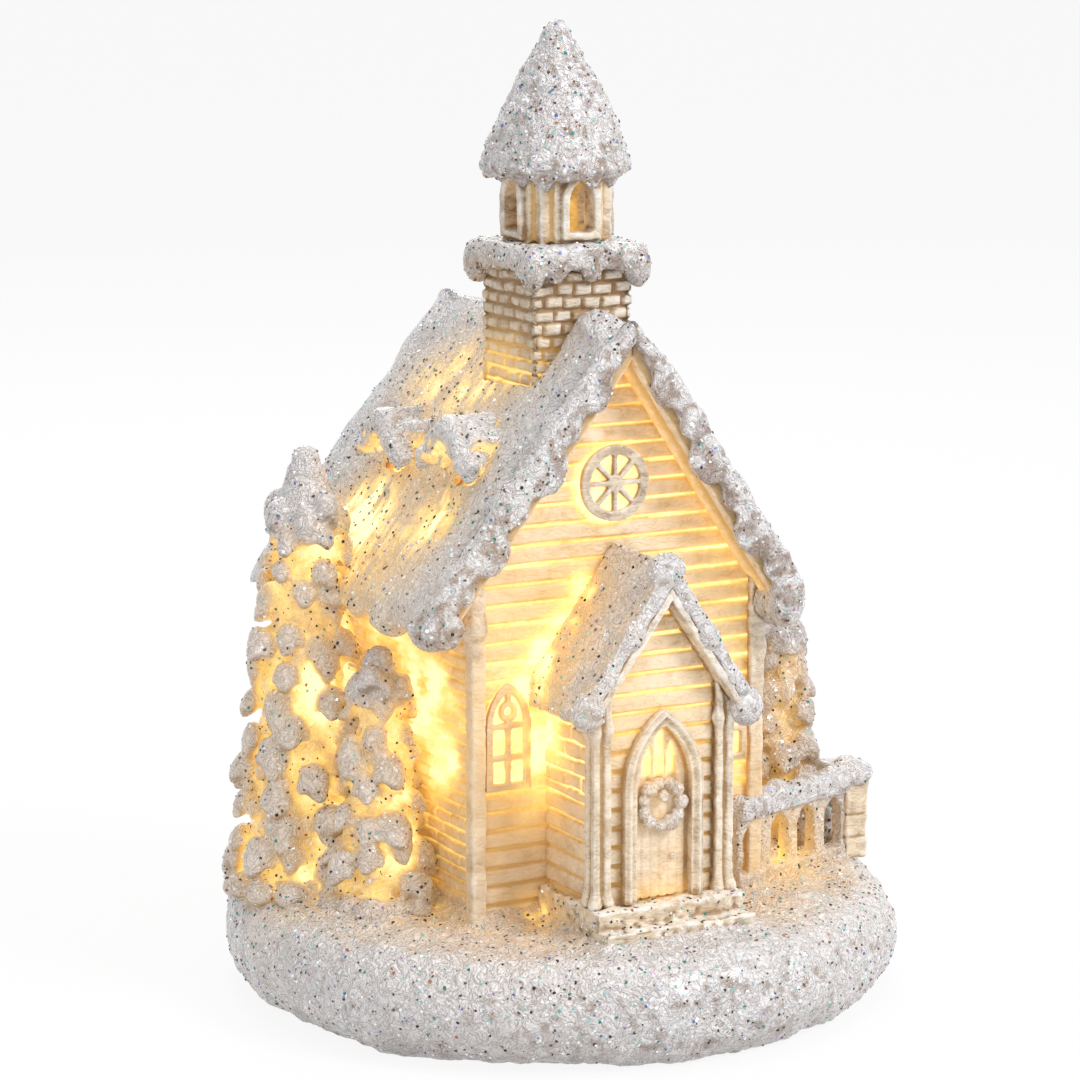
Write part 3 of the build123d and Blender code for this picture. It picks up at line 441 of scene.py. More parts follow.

# %% [markdown]
# Snow crust: bright grey-white with faint pinkish shadows, brown pits, painted brown shade in its
# creases, hollows and undersides, and a warm tint near the lamp that is painted lamp light. The real
# crust is a crumpled varnished paste, so the bump is made of folds: the size of a noise that passes
# through zero leaves sharp creases between rounded crumbs.

# %% Snow crust


def snow_material():
    """White glittery crust."""
    material, graph, shader = new_material("snow_crust")
    place = graph.node("ShaderNodeTexCoord", None, None, "Object")
    broad = graph.spots(place, 150.0, 3.0)
    fold = graph.folds(place, 380.0, 1.3)
    grain = graph.folds(place, 880.0, 0.9)
    # Painted shade: brown in the creases between the crumbs of the bump.
    crease = (1.0 - fold * 14.0).clamped() * 0.42 + (1.0 - grain * 12.0).clamped() * 0.26
    snow = graph.mix(broad, shade(224, 220, 221), shade(246, 244, 245))
    snow = graph.mix(crease, snow, shade(142, 124, 112))
    # Brown pits and stain, and painted shade in hollows and on undersides, as the skin stored them.
    snow = graph.mix(graph.field("pit") * 0.75, snow, shade(140, 108, 82))
    # Painted lamp light: a warm tint near the lamp, and orange where the glow is strong.
    snow = graph.mix(graph.field("warm") * 0.7, snow, shade(250, 217, 170))
    snow = graph.mix((graph.field("glow") * 1.3).clamped() * 0.7, snow, shade(228, 174, 84))
    height = fold.math("POWER", fold, 0.6) + 0.5 * grain.math("POWER", grain, 0.6)
    bump = graph.node("ShaderNodeBump", None, {"Height": height, "Strength": 0.75, "Distance": 0.0013})
    feed(graph, shader, Base_Color=snow, Normal=bump, Roughness=0.24 + 0.5 * fold)
    feed(graph, shader, Coat_Weight=0.5, Coat_Roughness=0.14)
    feed(graph, shader, Emission_Color=glow_colour(graph, place), Emission_Strength=1.0)
    return material


snow_crust = snow_material()
print("made", snow_crust.name)

# %% [markdown]
# Cast walls: cream with a brown wash that stays in the recesses and a dry brush of white on
# what stands proud or faces up. Painted shade deepens the brown in creases and sheltered corners,
# and painted lamp light warms the cream near the lamp. The skins store where the wash, the painted
# shade and the dry brush lie, and a noise that is stretched along the boards gives the strokes of the brush.

# %% Antiqued cast


def cast_material():
    """Cream casting with a brown wash, painted brown shade in creases and recesses, a warm tint of painted
    lamp light and white dry brushing.
    """
    material, graph, shader = new_material("antiqued_cast")
    place = graph.node("ShaderNodeTexCoord", None, None, "Object")
    strokes = graph.node("ShaderNodeMapping", None, {"Vector": place, "Scale": (0.4, 0.7, 1.0)})
    broad = graph.spots(place, 110.0, 3.0)
    fine = graph.spots(strokes, 1300.0, 4.0)
    fold = graph.folds(strokes, 700.0, 0.6)
    cream = graph.mix(broad, shade(228, 212, 186), shade(246, 238, 222))
    brown = graph.mix(fine, shade(104, 74, 46), shade(160, 122, 82))
    # Painted shade: brown in the creases of the bump.
    crease = (1.0 - fold * 12.0).clamped() * 0.35
    rubbed = (graph.spots(strokes, 330.0, 5.0) * 3.0 - 1.25).clamped() * 0.5
    # The stored wash holds the real brown wash and painted shade in recesses and sheltered places.
    wash = (graph.field("wash") * (0.5 + 0.8 * fine) + crease + rubbed).clamped()
    cream = graph.mix(wash, cream, brown)
    dabs = ((graph.spots(place, 420.0, 4.0) * 3.2 - 1.0) * graph.field("dust")).clamped()
    cream = graph.mix(dabs, cream, shade(244, 241, 238))
    # Painted lamp light: a warm tint near the lamp, and orange where the glow is strong.
    cream = graph.mix(graph.field("warm") * 0.65, cream, shade(250, 212, 154))
    cream = graph.mix((graph.field("glow") * 1.2).clamped() * 0.7, cream, shade(232, 181, 92))
    height = fine * 0.5 + fold * 0.9
    bump = graph.node("ShaderNodeBump", None, {"Height": height, "Strength": 0.6, "Distance": 0.0006})
    feed(graph, shader, Base_Color=cream, Normal=bump, Roughness=0.4 + 0.3 * fine)
    feed(graph, shader, Emission_Color=glow_colour(graph, place), Emission_Strength=1.0)
    return material


antiqued_cast = cast_material()
print("made", antiqued_cast.name)

# %% [markdown]
# Most skins start from a packed solid plus rounded lumps. A voxel remesh wraps all of it in
# one closed surface with even faces, which is then relaxed and roughened.

# %% Wrapping solids and lumps


def solid(*nodes):
    """Packed solids as one closed mesh to sculpt on."""
    shape = bmesh.new()
    for node in nodes:
        shape.from_mesh(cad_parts[node].data)
    bmesh.ops.remove_doubles(shape, verts=shape.verts, dist=0.002 * MM)
    return shape


def add_lump(shape, centre, radii, turn=(0.0, 0.0, 0.0)):
    """Adds a rounded lump, an ellipsoid, in millimetres and degrees."""
    turned = Euler([math.radians(angle) for angle in turn]).to_matrix().to_4x4()
    place = Matrix.Translation(Vector(centre) * MM) @ turned
    place = place @ Matrix.Diagonal((*[radius * MM for radius in radii], 1.0))
    bmesh.ops.create_icosphere(shape, subdivisions=3, radius=1.0, matrix=place)


def lumps_along(shape, start, end, spacing, radius, spread, seed):
    """Adds a row of uneven lumps from start to end."""
    draw = np.random.default_rng(seed)
    start, end = np.array(start, float), np.array(end, float)
    count = max(2, int(np.linalg.norm(end - start) / spacing))
    for number in range(count):
        centre = start + (end - start) * (number + draw.uniform(0.2, 0.8)) / count
        size = radius * draw.uniform(0.65, 1.25)
        centre = centre + draw.normal(0, spread, 3)
        add_lump(shape, centre, size * draw.uniform(0.8, 1.2, 3))


def wrap(shape, voxel):
    """Skin of one closed surface round everything in the shape; voxel in millimetres."""
    raw = bpy.data.meshes.new("raw")
    shape.to_mesh(raw)
    shape.free()
    holder = bpy.data.objects.new("raw", raw)
    bpy.context.scene.collection.objects.link(holder)
    remesh = holder.modifiers.new("wrap", "REMESH")
    remesh.mode = "VOXEL"
    remesh.voxel_size = voxel * MM
    graph = bpy.context.evaluated_depsgraph_get()
    mesh = bpy.data.meshes.new_from_object(holder.evaluated_get(graph))
    bpy.data.objects.remove(holder)
    bpy.data.meshes.remove(raw)
    return Skin(mesh)


def finish_piece(name, skin, material, nodes):
    """Turns a sculpted skin into a piece that stands for its solids."""
    mesh = skin.mesh
    mesh.name = name
    mesh.materials.clear()
    mesh.materials.append(material)
    mesh.shade_smooth()
    piece = bpy.data.objects.new(name, mesh)
    bpy.context.scene.collection.objects.link(piece)
    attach(piece, "ornament")
    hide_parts(*nodes)
    print(name, len(mesh.polygons), "faces")
    return piece


def crust(node, skin):
    """Snow piece of one solid."""
    return finish_piece(node + "_crust", skin, snow_crust, [node])


def cast(node, skin):
    """Cast piece of one solid."""
    return finish_piece(node + "_cast", skin, antiqued_cast, [node])


snow_pieces = {}


def crumbs(points, seed):
    """Crumpled relief of the crust: soft swells and rounded crumbs with creases between them."""
    swell = 0.8 * noise(points, 9.0, seed) + 0.4 * noise(points, 4.5, seed + 1)
    grains = np.abs(noise(points, 3.3, seed + 2)) + 0.5 * np.abs(noise(points, 1.9, seed + 3))
    return swell + 1.3 * (grains - 0.45)


def mark_snow(skin, seed, streaks=None, stain_and_shade=0.0):
    """Stores brown pits with painted shade in hollows and on undersides, a warm tint of painted lamp light
    and glow on a snow skin; streaks break up the light, stain adds brown.
    """
    points = skin.points
    hollow = skin.hollow(5)
    if streaks is None:
        streaks = noise(points * (1, 1, 0.45), 2.4, seed + 6)
    # Painted shade: hollows and faces that look down are darkened brown.
    under = blend(0.15, 0.85, -skin.normals()[:, 2])
    ahead = 0.7 * blend(0.5, 0.95, -skin.normals()[:, 1]) * blend(0.3, 0.62, noise(points, 1.9, seed + 7))
    crease = blend(0.07, 0.36, hollow) + 0.6 * under
    pit = crease * (0.6 + 0.5 * noise(points, 3.0, seed + 5)) + ahead + stain_and_shade
    light = 0.7 * warmth(points, 1.1) * (0.75 + 0.75 * streaks)
    light = light * (0.75 + 0.6 * blend(-0.1, 0.25, hollow))
    skin.store(pit=pit, warm=0.8 * warmth(points, 1.7), glow=light)


def cast_piece(node, shape, voxel, relief, seed):
    """Cast piece with soft edges, wash in its recesses and dry brushing on its edges."""
    skin = wrap(shape, voxel)
    skin.relax(2)
    points = skin.points
    skin.push(relief * (noise(points, 4.0, seed) + 0.6 * noise(points, 1.6, seed + 1)))
    mark_cast(skin, seed)
    return cast(node, skin)


def mark_cast(skin, seed, glow=0.0, stain_and_shade=0.0, clean=0.0, tint=0.0):
    """Stores wash with painted shade in recesses and sheltered places, dry brushing, a warm tint of painted
    lamp light and glow on a cast skin; stain adds to the wash, clean takes it off.
    """
    points = skin.points
    normals = skin.normals()
    hollow = skin.hollow(8)
    # Painted shade: sheltered places get more brown wash, less dry brushing and a warm tint.
    covered = blend(0.12, 0.6, skin.shelter(7.0))
    wash = blend(0.0, 0.2, hollow) + 0.85 * covered + 0.35 * blend(0.0, 0.8, noise(points, 6.0, seed + 3))
    wash = (wash + stain_and_shade) * (1 - clean)
    raised = blend(-0.02, -0.2, hollow) + 0.8 * blend(0.35, 0.9, normals[:, 2])
    dust = raised * (1 - 0.7 * covered) + 0.6 * clean
    light = 0.75 * warmth(points, 1.0) * (0.75 + 0.5 * noise(points, 3.0, seed + 4)) - 0.12
    warm = warmth(points, 1.6) + 0.25 * covered + tint
    skin.store(wash=wash, dust=dust, warm=warm, glow=np.maximum(light, glow))


print("wrapping tools ready")

# %% [markdown]
# Walls are closed slabs: a carved grid of points outside and a plain face inside. Grids keep
# long grooves clean, where a voxel surface would make them jagged. Openings are then cut with
# prisms by a Boolean.

# %% Slabs from grids


def grid_quads(index):
    """Corners of each cell in a grid of point numbers."""
    return np.stack([index[:-1, :-1], index[:-1, 1:], index[1:, 1:], index[1:, :-1]], axis=-1).reshape(-1, 4)


def slab_shape(outer, inner, around):
    """Closed mesh between a carved grid and a plain one, which is one face unless the slab runs around."""
    rows, columns = outer.shape[:2]
    points = np.concatenate([outer.reshape(-1, 3), inner.reshape(-1, 3)]) * MM
    index = np.arange(rows * columns).reshape(rows, columns)
    if around:
        index = np.concatenate([index, index[:, :1]], axis=1)
    quads = grid_quads(index)
    shift = rows * columns
    faces = quads.tolist()
    rims = [index[0], index[-1][::-1]]
    if around:
        faces += (quads[:, ::-1] + shift).tolist()
    else:
        rims += [index[::-1, 0], index[:, -1]]
        border = np.concatenate([index[0, :-1], index[:-1, -1], index[-1, :0:-1], index[:0:-1, 0]])
        faces.append((border[::-1] + shift).tolist())
    for rim in rims:
        faces += np.stack([rim[1:], rim[:-1], rim[:-1] + shift, rim[1:] + shift], axis=-1).tolist()
    mesh = bpy.data.meshes.new("slab")
    mesh.from_pydata(points.tolist(), [], faces)
    shape = bmesh.new()
    shape.from_mesh(mesh)
    bpy.data.meshes.remove(mesh)
    loose = [vertex for vertex in shape.verts if not vertex.link_faces]
    bmesh.ops.delete(shape, geom=loose, context="VERTS")
    bmesh.ops.recalc_face_normals(shape, faces=shape.faces)
    return shape


def prism(outline, low, high, turn):
    """Closed prism over an outline of (u, z) points; turn maps (u, depth, z) to x, y, z."""
    shape = bmesh.new()
    rings = []
    for depth in (low, high):
        rings.append([shape.verts.new(Vector(turn(u, depth, z)) * MM) for u, z in outline])
    shape.faces.new(rings[0])
    shape.faces.new(rings[1][::-1])
    count = len(outline)
    for number in range(count):
        after = (number + 1) % count
        shape.faces.new([rings[0][after], rings[0][number], rings[1][number], rings[1][after]])
    bmesh.ops.recalc_face_normals(shape, faces=shape.faces)
    return shape


def to_object(shape, name):
    """Temporary object of a shape."""
    mesh = bpy.data.meshes.new(name)
    shape.to_mesh(mesh)
    shape.free()
    made = bpy.data.objects.new(name, mesh)
    bpy.context.scene.collection.objects.link(made)
    return made


def cut(shape, cutters):
    """Skin of a shape after the cutters are taken away."""
    body = to_object(shape, "body")
    tools = [to_object(cutter, "cutter") for cutter in cutters]
    for tool in tools:
        step = body.modifiers.new("cut", "BOOLEAN")
        step.operation = "DIFFERENCE"
        step.object = tool
        step.solver = "EXACT"
    graph = bpy.context.evaluated_depsgraph_get()
    mesh = bpy.data.meshes.new_from_object(body.evaluated_get(graph))
    for made in [body] + tools:
        bpy.data.objects.remove(made)
    return Skin(mesh)


def pointed_outline(centre, half, foot, spring, peak, steps=8):
    """Outline with upright sides and a pointed head, as (u, z) points."""
    head = peak - spring
    radius = (half * half + head * head) / (2 * half)
    top = math.asin(head / radius)
    right = []
    for number in range(steps + 1):
        angle = top * number / steps
        right.append((half - radius + radius * math.cos(angle), spring + radius * math.sin(angle)))
    outline = [(-half, foot), (half, foot)] + right
    outline += [(-u, z) for u, z in right[-2::-1]]
    return [(centre + u, z) for u, z in outline]


def round_outline(centre, middle, radius, steps):
    """Circle of (u, z) points."""
    turns = [2 * math.pi * number / steps for number in range(steps)]
    return [(centre + radius * math.cos(turn), middle + radius * math.sin(turn)) for turn in turns]


def board_level(u, z, foot, pitch, seed):
    """Number of boards from the foot up to each point; grooves lie at whole numbers."""
    flat = np.stack([u, 0 * u, z], axis=-1).reshape(-1, 3)
    sway = 0.35 * noise(flat * (1, 1, 0.3), 14.0, seed).reshape(u.shape)
    return (z - foot + sway) / pitch


def carve_boards(u, z, foot, pitch, seed):
    """Depth of clapboard grooves under a flat face."""
    flat = np.stack([u, 0 * u, z], axis=-1).reshape(-1, 3)
    level = board_level(u, z, foot, pitch, seed)
    gap = np.abs(level - np.round(level)) * pitch
    width = 0.42 + 0.16 * noise(flat * (1, 1, 0.5), 9.0, seed + 1).reshape(u.shape)
    groove = 0.95 * (1 - blend(width * 0.45, width + 0.28, gap))
    tilt = 0.25 * (level - np.floor(level))
    rough = 0.10 * noise(flat, 3.2, seed + 2) + 0.06 * noise(flat, 1.4, seed + 3)
    return np.where(level > 0.5, groove, 0.0) + tilt + rough.reshape(u.shape)


def carve_bricks(u, z, foot, length, height, seed):
    """Depth of brick joints under a flat face."""
    flat = np.stack([u, 0 * u, z], axis=-1).reshape(-1, 3)
    sway = 0.12 * noise(flat, 6.0, seed).reshape(u.shape)
    course = (z - foot) / height + sway
    row = np.floor(course)
    along = u / length + 0.5 * (row % 2) + sway
    brick = np.floor(along)
    gap = np.minimum(np.minimum(course - row, row + 1 - course) * height,
                     np.minimum(along - brick, brick + 1 - along) * length)
    key = brick * 127.1 + row * 311.7 + seed * 17.7
    lift = 0.28 * (np.sin(key) * 43758.5453 % 1.0)
    rough = 0.10 * noise(flat, 1.8, seed + 1).reshape(u.shape)
    return 0.85 * (1 - blend(0.16, 0.62, gap)) + lift + rough


def mark_wall(skin, depth, inner, groove_glow, seed, face_glow=0.0, stain_and_shade=0.0, lit=1.0):
    """Stores dark joints, wash with painted shade in sheltered places, dust, painted lamp light and glow on a
    carved wall; stain adds painted shade and a faint stain to the wash, and lit scales the warm places.
    """
    points = skin.points
    groove = blend(0.45, 0.95, depth) * (1 - inner)
    # Painted shade: sheltered places get more brown wash, less dust and a warm tint; glowing places get less
    # wash.
    covered = blend(0.15, 0.7, skin.shelter(7.0)) * (1 - inner)
    wash = 0.9 * groove + 0.65 * covered + 0.4 * blend(0.0, 0.9, noise(points, 5.0, seed + 3)) + stain_and_shade
    dust = (0.55 * blend(0.0, 0.6, noise(points, 8.0, seed + 5)) + 0.25) * (1 - groove) * (1 - covered)
    through = lit * warmth(points, 1.0) * (0.8 + 0.4 * noise(points, 5.0, seed + 4))
    lamp = inner * (0.78 + 0.3 * noise(points, 16.0, seed + 6))
    glow = np.maximum(np.maximum(groove * groove_glow, 0.85 * through - 0.1 + face_glow), lamp)
    warm = lit * warmth(points, 1.7) + 0.25 * groove_glow + 0.7 * face_glow + 0.2 * covered
    skin.store(wash=wash * (1 - inner) * (1 - 0.6 * np.clip(glow, 0, 1)), dust=dust, warm=warm, glow=glow)


print("slab tools ready")

# %% [markdown]
# The front gable is the face of the chapel: level clapboards with light in every groove. The
# grooves sway a little and change width, as they do on a hand-carved master. Light fades
# towards the foot of the wall.

# %% Front and rear gables
board_pitch = 4.3
window_low, window_high = box("window_front_left")
window_half = (window_high[0] - window_low[0]) / 2
window_rise = 10.0
hidden_edge = 0.7
porch_low, porch_high = box("porch_front_wall")


def gable_cutters(turn):
    """Wedges that take the gable down to the roof's slopes."""
    lift = 2.0
    far = 90.0
    cutters = []
    for side, rise in ((-1, left_rise), (1, right_rise)):
        edge = ridge_x + side * far
        outline = [(ridge_x, apex_z + lift), (edge, apex_z + lift - rise * far), (edge, apex_z + far)]
        outline.append((ridge_x, apex_z + far))
        cutters.append(prism(outline, -far, far, turn))
    return cutters


def window_cutter(node, axis, turn):
    """Prism that opens the wall behind a window's frame."""
    low, high = box(node)
    centre = (low[axis] + high[axis]) / 2
    half = window_half - hidden_edge
    spring = high[2] - window_rise
    outline = pointed_outline(centre, half, low[2] + hidden_edge, spring, high[2] - 1.6 * hidden_edge)
    return prism(outline, -90.0, 90.0, turn)


def gable_grid(face_y, inner_y, way, seed):
    """Carved grid of a gable; way is the direction that its face looks along Y."""
    u = np.arange(left_x, right_x + 0.01, (right_x - left_x) / 64)
    z = np.arange(floor_z - 1.0, apex_z + 4.0, 0.34)
    u, z = np.meshgrid(u, z)
    depth = carve_boards(u, z, floor_z, board_pitch, seed)
    outer = np.stack([u, face_y - way * depth, z], axis=-1)
    inner = np.stack([u, np.full_like(u, inner_y), z], axis=-1)
    return slab_shape(outer, inner, False)


def straight(u, depth, z):
    """Place on a wall that looks along Y."""
    return (u, depth, z)


round_low, round_high = box("round_window")
round_centre = (round_low + round_high) / 2
round_radius = (round_high[0] - round_low[0]) / 2
passage_half = 10.5
passage_low = porch_low[2]
passage_high = passage_low + 50.0


def front_gable():
    """Clapboard gable with its windows, the round window and the way into the porch."""
    cutters = gable_cutters(straight)
    cutters += [window_cutter(node, 0, straight) for node in ("window_front_left", "window_front_right")]
    circle = round_outline(round_centre[0], round_centre[2], round_radius - 1.4, 40)
    cutters.append(prism(circle, -90.0, 90.0, straight))
    way_in = [(ridge_x - passage_half, passage_low), (ridge_x + passage_half, passage_low)]
    way_in += [(ridge_x + passage_half, passage_high), (ridge_x - passage_half, passage_high)]
    cutters.append(prism(way_in, -90.0, 90.0, straight))
    skin = cut(gable_grid(front_y, front_y + wall, -1, 11), cutters)
    points = skin.points
    inner = blend(front_y + 1.6, front_y + wall - 0.1, points[:, 1])
    height = blend(floor_z + 8, floor_z + 42, points[:, 2])
    patchy = 0.85 + 0.3 * noise(points * (1, 1, 2.0), 12.0, 21)
    light = (0.2 + 0.75 * height) * patchy
    level = board_level(points[:, 0], points[:, 2], floor_z, board_pitch, 11)
    near = np.exp(-np.abs(level - np.round(level)) * board_pitch / 0.75)
    ring = np.hypot(points[:, 0] - round_centre[0] + 1.2, points[:, 2] - round_centre[2] + 0.8)
    halo = 0.8 * np.exp(-np.maximum(ring - round_radius + 0.6, 0) / 1.1)
    right = 1 + 0.6 * blend(2.0, 26.0, points[:, 0])
    shine = (0.24 + 0.34 * near) * (0.3 + 0.7 * height) * patchy * right + halo
    mark_wall(skin, points[:, 1] - front_y, inner, light, 31, shine)
    return cast("front_wall", skin)


def rear_gable():
    """Clapboard gable at the back with one window."""
    cutters = gable_cutters(straight) + [window_cutter("window_rear", 0, straight)]
    skin = cut(gable_grid(rear_y, rear_y - wall, 1, 12), cutters)
    points = skin.points
    inner = blend(rear_y - 1.6, rear_y - wall + 0.1, points[:, 1])
    height = blend(floor_z + 12, floor_z + 60, points[:, 2])
    light = (0.2 + 0.6 * height) * (0.85 + 0.3 * noise(points, 12.0, 22))
    mark_wall(skin, rear_y - points[:, 1], inner, light, 32)
    return cast("rear_wall", skin)


front_gable()
rear_gable()

# %% [markdown]
# The side walls and the tower are brick. Joints are carved by a formula: courses of one
# height, bricks of one length, every other course shifted by half, and each brick set a little
# deeper or prouder than its neighbours.

# %% Brick walls
brick_length = 7.3
brick_height = 2.9


def side_wall(node, side, windows, seed):
    """Brick wall between the gables; side is -1 on the left."""
    low, high = box(node)
    outer_x = low[0] if side < 0 else high[0]
    inner_x = high[0] if side < 0 else low[0]
    u = np.arange(low[1], high[1] + 0.01, (high[1] - low[1]) / 140)
    z = np.arange(floor_z - 1.0, high[2] + 1.0, 0.4)
    u, z = np.meshgrid(u, z)
    depth = carve_bricks(u, z, floor_z, brick_length, brick_height, seed)
    outer = np.stack([outer_x - side * depth, u, z], axis=-1)
    inner = np.stack([np.full_like(u, inner_x), u, z], axis=-1)

    def sideways(u, depth, z):
        """Place on a wall that looks along X."""
        return (depth, u, z)

    cutters = [window_cutter(name, 1, sideways) for name in windows]
    skin = cut(slab_shape(outer, inner, False), cutters)
    points = skin.points
    carved = side * (outer_x - points[:, 0])
    inside = blend(1.6, wall - 0.1, carved)
    mark_wall(skin, carved, inside, 0.55 + 0.2 * noise(points, 14.0, seed + 2), seed + 5)
    return cast(node, skin)


side_wall("left_wall", -1, [], 41)
side_wall("right_wall", 1, ["window_right_front", "window_right_rear"], 43)


def tower_brick():
    """Square brick shaft of the tower, open inside."""
    low, high = box("tower_shaft")
    side = high[0] - low[0]
    hollow = 3.2
    per_side = 64
    share = np.arange(4 * per_side) / per_side
    corner = share.astype(int)
    along = share - corner
    starts = np.array([(low[0], low[1]), (high[0], low[1]), (high[0], high[1]), (low[0], high[1])])
    ways = np.array([(1, 0), (0, 1), (-1, 0), (0, -1)])
    outs = np.array([(0, -1), (1, 0), (0, 1), (-1, 0)])
    z = np.arange(low[2] + 4.0, high[2] + 0.8, 0.4)
    u, z = np.meshgrid(share * side, z)
    depth = 1.25 * carve_bricks(u, z, floor_z, side / 5, brick_height, 47)
    flat = starts[corner] + ways[corner] * (along * side)[:, None]
    outer_flat = flat[None] - outs[corner][None] * depth[..., None]
    centre = (low[:2] + high[:2]) / 2
    inner_flat = centre + (flat - centre) * (1 - 2 * hollow / side)
    outer = np.concatenate([outer_flat, z[..., None]], axis=-1)
    inner = np.concatenate([np.broadcast_to(inner_flat, outer_flat.shape), z[..., None]], axis=-1)
    skin = Skin(to_object(slab_shape(outer, inner, True), "tower").data)
    points = skin.points
    reach = np.max(np.abs(points[:, :2] - centre), axis=1)
    carved = side / 2 - reach
    inside = blend(1.8, hollow - 0.1, carved)
    foot = 0.75 * (1 - blend(low[2] + 6, low[2] + 20, points[:, 2]))
    # Painted shade: in the upper courses the faces that look left, away from the light, get darker brown, on
    # top of a faint stain.
    shady = blend(0.2, 0.7, -skin.normals()[:, 0])
    upper = blend(low[2] + 10, low[2] + 22, points[:, 2])
    stain_and_shade = (0.02 + 0.36 * shady) * (0.8 + 0.5 * noise(points, 2.6, 50)) * upper
    mark_wall(skin, carved, inside, foot, 49, 0.0, stain_and_shade, 0.45)
    bpy.data.objects.remove(bpy.data.objects["tower"])
    return cast("tower_shaft", skin)


tower_brick()

# %% [markdown]
# The big roof carries a thick blanket of snow. It sags over the front edge in lumps, hangs in
# fat drips along the eaves and is combed by streaks down the slope. It gets thinner towards
# the rear and is hollowed out before each dormer.

# %% Main roof


def slope_z(x, lift):
    """Height of the roof's slopes at x, raised by lift over the walls' apex."""
    rise = np.where(x < ridge_x, left_rise, right_rise)
    return apex_z + lift - rise * np.abs(x - ridge_x)


def main_snow(node, side, seed):
    """Snow blanket of one slope: a rolled edge with hanging scallops, a fat tip and dripping eaves."""
    edge = roof_low[0] if side < 0 else eave_high[0]
    top = slab_depth + snow_depth
    rise = left_rise if side < 0 else right_rise
    lean = side * math.degrees(math.atan(rise))
    shape = solid(node)
    for y, way in ((roof_front, 1), (roof_back, -1)):
        for share, size in ((0.2, 3.6), (0.34, 2.2), (0.47, 4.6), (0.62, 2.4), (0.76, 4.3), (0.9, 2.6)):
            x = ridge_x + side * share * abs(edge - ridge_x)
            drip = (x, y + way * 1.2, slope_z(x, slab_depth + 0.4))
            add_lump(shape, drip, (1.3 * size, 0.8 * size, size), (0, lean, 0))
        tip = (edge, y + way * 3.2, slope_z(edge, 2.6))
        add_lump(shape, tip, (5.0, 4.8, 4.9 if side < 0 else 6.4))
    if side < 0:
        tower_front, tower_back = tower_y - 13, tower_y + 13
        half = (tower_front - roof_front) / 2 + 1
        add_lump(shape, (ridge_x, (roof_front + tower_front) / 2, apex_z + top - 3.6), (5.4, half, 3.8))
        add_lump(shape, (ridge_x, (roof_back + tower_back) / 2, apex_z + top - 4.4), (5.0, 20.0, 3.8))
    eave = [(edge + side * 0.2, y, slope_z(edge, 2.4)) for y in (roof_front + 6, roof_back - 4)]
    lumps_along(shape, *eave, 6.5, 3.1, 0.5, seed + 9)
    skin = wrap(shape, 0.7)
    skin.relax(7)
    points = skin.points
    steep = math.hypot(1, rise)
    down = (side * points[:, 0] - rise * points[:, 2]) / steep
    lift = (side * rise * points[:, 0] + points[:, 2]) / steep
    along = np.stack([0.28 * down, points[:, 1], 0.6 * lift], axis=-1)
    streaks = np.abs(noise(along, 1.5, seed + 11)) + 0.5 * noise(along, 2.8, seed + 12)
    relief = 0.3 * crumbs(points, seed) + 0.35 * streaks
    relief += 2.2 * noise(points, 13.0, seed + 15) * blend(26.0, 46.0, points[:, 1])
    behind = points[:, 1] - roof_front
    groove = np.exp(-((behind - 7.2) / 2.8) ** 2) * (points[:, 2] > slope_z(points[:, 0], slab_depth))
    relief -= 2.5 * groove
    if side < 0:
        for node_name in ("dormer_front", "dormer_rear"):
            low, high = box(node_name)
            mouth = np.array([low[0] - 2.5, (low[1] + high[1]) / 2, slope_z(low[0] - 2.5, top)])
            relief -= 2.6 * np.exp(-np.sum(((points - mouth) / (6.0, 7.0, 7.0)) ** 2, axis=1))
    skin.push(relief)
    proud = np.minimum(points[:, 1] - roof_front - 0.6, 0)
    points[:, 1] -= 0.65 * proud
    cover = np.maximum(points[:, 2] - slope_z(points[:, 0], slab_depth + 0.8), 0)
    points[:, 2] -= 0.75 * cover * blend(-30.0, 24.0, points[:, 1])
    crest = np.exp(-((points[:, 0] - ridge_x) / 8.0) ** 2) * (1 - blend(-34.0, -24.0, points[:, 1]))
    points[:, 2] -= 0.5 * cover * crest
    ahead = blend(0.3, 0.75, -skin.normals()[:, 1])
    over = points[:, 2] - slope_z(points[:, 0], slab_depth)
    low_edge = (1 - blend(0.5, 4.0, over)) * blend(-0.25, 0.4, noise(points, 2.4, seed + 13))
    stain_and_shade = ahead * (0.75 * low_edge + 0.8 * blend(0.2, 0.5, noise(points, 1.8, seed + 14)))
    mark_snow(skin, seed, 1.4 * streaks - 0.3, stain_and_shade)
    return crust(node, skin)


snow_pieces["roof"] = [main_snow("roof_snow_left", -1, 61), main_snow("roof_snow_right", 1, 65)]


def soffit(node, seed):
    """Roof slab with two moulded ribs along its front underside."""
    skin = wrap(solid(node), 0.95)
    skin.relax(1)
    points = skin.points
    below = blend(0.2, 0.5, -skin.normals()[:, 2])
    behind = points[:, 1] - roof_front
    edge = 1 - blend(0.0, 2.4, behind)
    ribs = np.exp(-((behind - 3.2) / 1.1) ** 2) + np.exp(-((behind - 7.2) / 1.2) ** 2)
    skin.push(1.2 * ribs * below + 0.15 * noise(points, 3.0, seed))
    points[:, 1] += 2.2 * edge
    glow = 0.42 * below * blend(1.0, 9.0, behind)
    # Painted shade and lamp light: faces that look down get more brown wash and a warm tint; the front edge
    # gets more brown and a warm tint.
    mark_cast(skin, seed + 1, glow, 0.6 * edge + 0.3 * below, 0.0, 0.7 * below + 0.3 * edge)
    return cast(node, skin)


soffit("roof_left", 71)
soffit("roof_right", 73)

# %% [markdown]
# The dormers are little hoods of snow on the left slope. Light fills the mouth of each one,
# deep inside and on the flanks that face each other.

# %% Dormers


